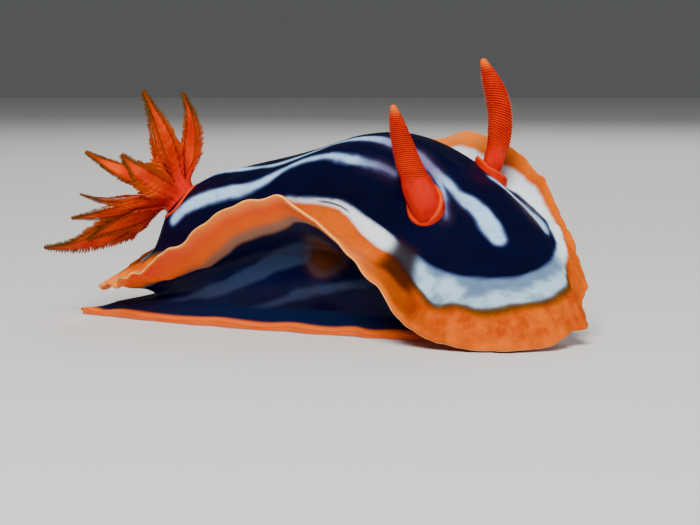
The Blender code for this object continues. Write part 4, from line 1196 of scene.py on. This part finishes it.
def branchLine(root, spec):   # leaves the pocket along its axis, bends to the aim and ends along the tip
    aim, tip, steps = unit(spec["aim"]), unit(spec["tip"]), gill["steps"]
    s = np.linspace(0, 1, steps)[:, None]
    toAim, toTip = smooth(*spec["bend"], s), smooth(0.45, 1.0, s)
    toTip = np.minimum(toTip, toAim)
    direction = unit(gillAxis * (1 - toAim) + aim * (toAim - toTip) + tip * toTip)
    run = np.concatenate([[[0, 0, 0]], np.cumsum(direction[:-1], axis=0)])
    return (root + run * spec["length"] / (steps - 1))[:: (steps - 1) // (gill["rows"] - 1)]


def bladeMesh(points, tangents, wides, halfWidths, thicks):   # a flattened, ribbed tongue along a line
    sides, rows = gill["sides"], []
    a = 2 * math.pi * np.arange(sides) / sides
    across = np.abs(np.cos(a))
    trough = 1.0 - 0.35 * (1 - across) ** 3   # a furrow down the middle
    for i, s in enumerate(np.linspace(0, 1, len(points))):
        rib = gill["ribDepth"] * np.cos(2 * math.pi * gill["ribs"] * (s - 0.07 * across)) * across
        rib = rib * window(s, 0.12, 0.3, 0.9, 1.0) * halfWidths[i]
        flat = (halfWidths[i] + 0.5 * rib) * np.cos(a)
        deep = (thicks[i] + rib) * np.sin(a) * trough
        rows.append(points[i] + flat[:, None] * wides[i] + deep[:, None] * np.cross(tangents[i], wides[i]))
    return np.concatenate(rows), cappedFaces(len(rows), sides), np.tile(across, len(rows))


def makeBranch(number, spec, material, tree, leaflet):
    a, count = math.radians(spec["turn"]), gill["rows"]
    radial = gillUp * math.cos(a) + gillAcross * math.sin(a)
    line = branchLine(gillSeat + radial * gill["ring"] - gillAxis * gill["sunk"], spec)
    s = np.linspace(0, 1, count)
    tangents = unit(np.gradient(line, axis=0))
    wideAxis = gillAcross * math.cos(a) - gillUp * math.sin(a)
    wides = unit(wideAxis - tangents * (tangents @ wideAxis)[:, None])
    roll = np.radians(spec["roll"]) * smooth(0.05, 0.4, s)[:, None]
    wides = wides * np.cos(roll) + np.cross(tangents, wides) * np.sin(roll)
    taper = (1 - 0.74 * smooth(0.48, 0.96, s)) * np.sqrt(1 - 0.96 * np.clip((s - 0.92) / 0.08, 0, 1) ** 2)
    halfWidths = spec["halfWidth"] * (0.55 + 0.45 * smooth(0.08, 0.4, s)) * taper + 0.03
    thicks = 0.45 * halfWidths * (1 - 0.3 * smooth(0.3, 0.9, s)) + 0.02
    points, faces, outward = bladeMesh(line, tangents, wides, halfWidths, thicks)
    branch = finished("gillBranch" + number, points, faces, material)
    pointValues(branch, height=np.repeat(s, gill["sides"]), outward=outward)
    fringe, fringeAt = spec.get("fringe", (0.0, 0.0))
    bare = gill["bareFringed"] if fringe > gill["longFringe"] else gill["bareRoot"]
    leafy = slice(int(count * bare), count - 2)
    part, half = s[leafy], halfWidths[leafy]
    least, added = gill["reach"]
    reach = (least + added * half) * (0.4 + 0.6 * smooth(0.2, 0.4, part)) * (1 - 0.3 * smooth(0.8, 1.0, part))
    reach = reach * (1 + fringe * hump(part, fringeAt, gill["fringeWidth"]))
    plume = lineObject("plume", line[leafy], reach=reach, height=part, wide=wides[leafy],
                       edgeAt=half * gill["edgeAt"] * mm)
    inRow = int(gill["leafletCount"] * spec["length"] / gill["countFor"])
    growOn(plume, tree, {"Leaflet": leaflet, "Count": inRow, "Spread": math.radians(gill["spread"]),
                         "Seed": int(number), "Finish": material})
    joinInto(branch, plume)
    handOver(branch, "gill_skin", "gill_branch_" + number)


# the anal papilla: from and to are heights over the gills' seat
papilla = {"from": -0.8, "to": 1.2, "radius": 0.42, "taper": 0.16, "rows": 12, "sides": 20, "height": 0.1}


def makePapilla(material):
    along = np.linspace(papilla["from"], papilla["to"], papilla["rows"])
    radii = papilla["radius"] - papilla["taper"] * smooth(0.2, papilla["to"], along)
    points, faces = tubeMesh(gillSeat + gillAxis * along[:, None], radii, papilla["sides"])
    piece = finished("analPapilla", points, faces, material)
    pointValues(piece, height=np.full(len(points), papilla["height"]), outward=np.zeros(len(points)))
    handOver(piece, "gill_skin", "anal_papilla")


gillMaterial, plumeTree, leaflet = makeGillMaterial(), makePlumeTree(), leafletShape()
pocket = makeCollar("gillPocket", gillSeat, gillAxis, collars["gillPocket"], collarMaterial,
                    collars["gillPocket"]["scale"])
handOver(pocket, "gill_skin", "gill_pocket")
for number, spec in gillBranches.items():
    makeBranch(number, spec, gillMaterial, plumeTree, leaflet)
bpy.data.objects.remove(leaflet)
makePapilla(gillMaterial)
print("gills made")

# oral tentacles under the front of the mantle
oralTentacle = {
    "from": (14.75, 1.5, 2.25), "to": (16.3, 2.5, 1.75), "radius": 0.42, "taper": 0.4,
    "sunk": 0.6,   # its root reaches into the head
    "rows": 14, "sides": 20,
    "colour": (0.84, 0.20, 0.03), "light": (0.90, 0.28, 0.05), "tip": (0.92, 0.45, 0.20),
}


def makeTentacleMaterial():
    material, w, shader = newMaterial("mouthTentacle", 0.2, (1.0, 0.3, 0.1))
    colour = w.mottled(900.0, oralTentacle["colour"], oralTentacle["light"])
    colour = w.over(colour, oralTentacle["tip"], w.ranged(w.attribute("height"), 0.5, 1.0))
    wetFinish(w, shader, colour, 6000.0, 0.25, 0.26, 0.4)
    return material


def makeTentacle(side, sign, material):
    xi, eta, z = np.array([oralTentacle["from"], oralTentacle["to"]]).T
    root, tip = place(xi, sign * eta, z)
    root = root + unit(root - tip) * oralTentacle["sunk"]
    s = np.linspace(0, 1, oralTentacle["rows"])
    radii = oralTentacle["radius"] * (1 - oralTentacle["taper"] * s ** 2)
    points, faces = tubeMesh(root + (tip - root) * s[:, None], radii, oralTentacle["sides"])
    piece = finished("oralTentacle" + side.capitalize(), points, faces, material)
    pointValues(piece, height=tubeHeights(points, s, oralTentacle["sides"]))
    handOver(piece, "mouth_skin", "oral_tentacle_" + side)


tentacleMaterial = makeTentacleMaterial()
for side, sign in (("right", -1), ("left", 1)):
    makeTentacle(side, sign, tentacleMaterial)
print("tentacles made")

# floor, lights and camera; lights: place and height aimed at in metres, size, power, colour, seen in gloss
studio = {
    "floorHalf": 800.0, "floorColour": (0.80, 0.79, 0.77), "floorRoughness": 0.85,
    "distance": 152.0, "elevation": 6.0, "fieldOfView": 20.0, "aim": (0.0, 0.0, 4.8),
    "lights": {
        "key": ((-0.03, -0.27, 0.31), 0.008, 0.2, 2.6, (1.0, 0.98, 0.95), False),
        "glint": ((-0.05, -0.30, 0.26), 0.008, 0.02, 0.05, (1.0, 1.0, 1.0), True),
        "fill": ((0.34, -0.16, 0.10), 0.006, 0.30, 0.28, (0.92, 0.96, 1.0), True),
        "back": ((0.06, 0.30, 0.24), 0.008, 0.18, 0.5, (1.0, 1.0, 1.0), False),
    },
    "worldColour": (0.86, 0.88, 0.90), "worldStrength": 0.11,
}


def makeFloor():
    half = studio["floorHalf"]
    corners = [(-half, -half, 0), (half, -half, 0), (half, half, 0), (-half, half, 0)]
    floor = meshObject("floor", corners, [], [(0, 1, 2, 3)])
    material = bpy.data.materials.new("paleFloor")
    material.use_nodes = True
    shader = material.node_tree.nodes["Principled BSDF"]
    shader.inputs["Base Color"].default_value = (*studio["floorColour"], 1.0)
    shader.inputs["Roughness"].default_value = studio["floorRoughness"]
    floor.data.materials.append(material)


def makeLight(name, spot, height, size, power, colour, inGloss):
    data = bpy.data.lights.new(name, "AREA")
    data.size, data.energy, data.color = size, power, colour
    light = linked(name, data)
    light.location = spot
    light.rotation_euler = (Vector((0, 0, height)) - Vector(spot)).to_track_quat("-Z", "Y").to_euler()
    light.visible_glossy = inGloss   # a light left out of gloss lays no sheen across the dark skin


def makeWorld():
    world = bpy.data.worlds.new("studio")
    world.use_nodes = True
    background = world.node_tree.nodes["Background"]
    background.inputs["Color"].default_value = (*studio["worldColour"], 1.0)
    background.inputs["Strength"].default_value = studio["worldStrength"]
    bpy.context.scene.world = world


def makeCamera():
    data = bpy.data.cameras.new("camera")
    data.sensor_width = 36.0
    data.lens = data.sensor_width / 2 / math.tan(math.radians(studio["fieldOfView"]) / 2)
    data.clip_start, data.clip_end = 0.005, 20.0
    camera = linked("camera", data)
    lift = math.radians(studio["elevation"])
    aim = Vector(studio["aim"]) * mm
    camera.location = aim + Vector((0, -math.cos(lift), math.sin(lift))) * (studio["distance"] * mm)
    camera.rotation_euler = (aim - camera.location).to_track_quat("-Z", "Y").to_euler()
    bpy.context.scene.camera = camera


makeFloor()
for name, light in studio["lights"].items():
    makeLight(name, *light)
makeWorld()
makeCamera()
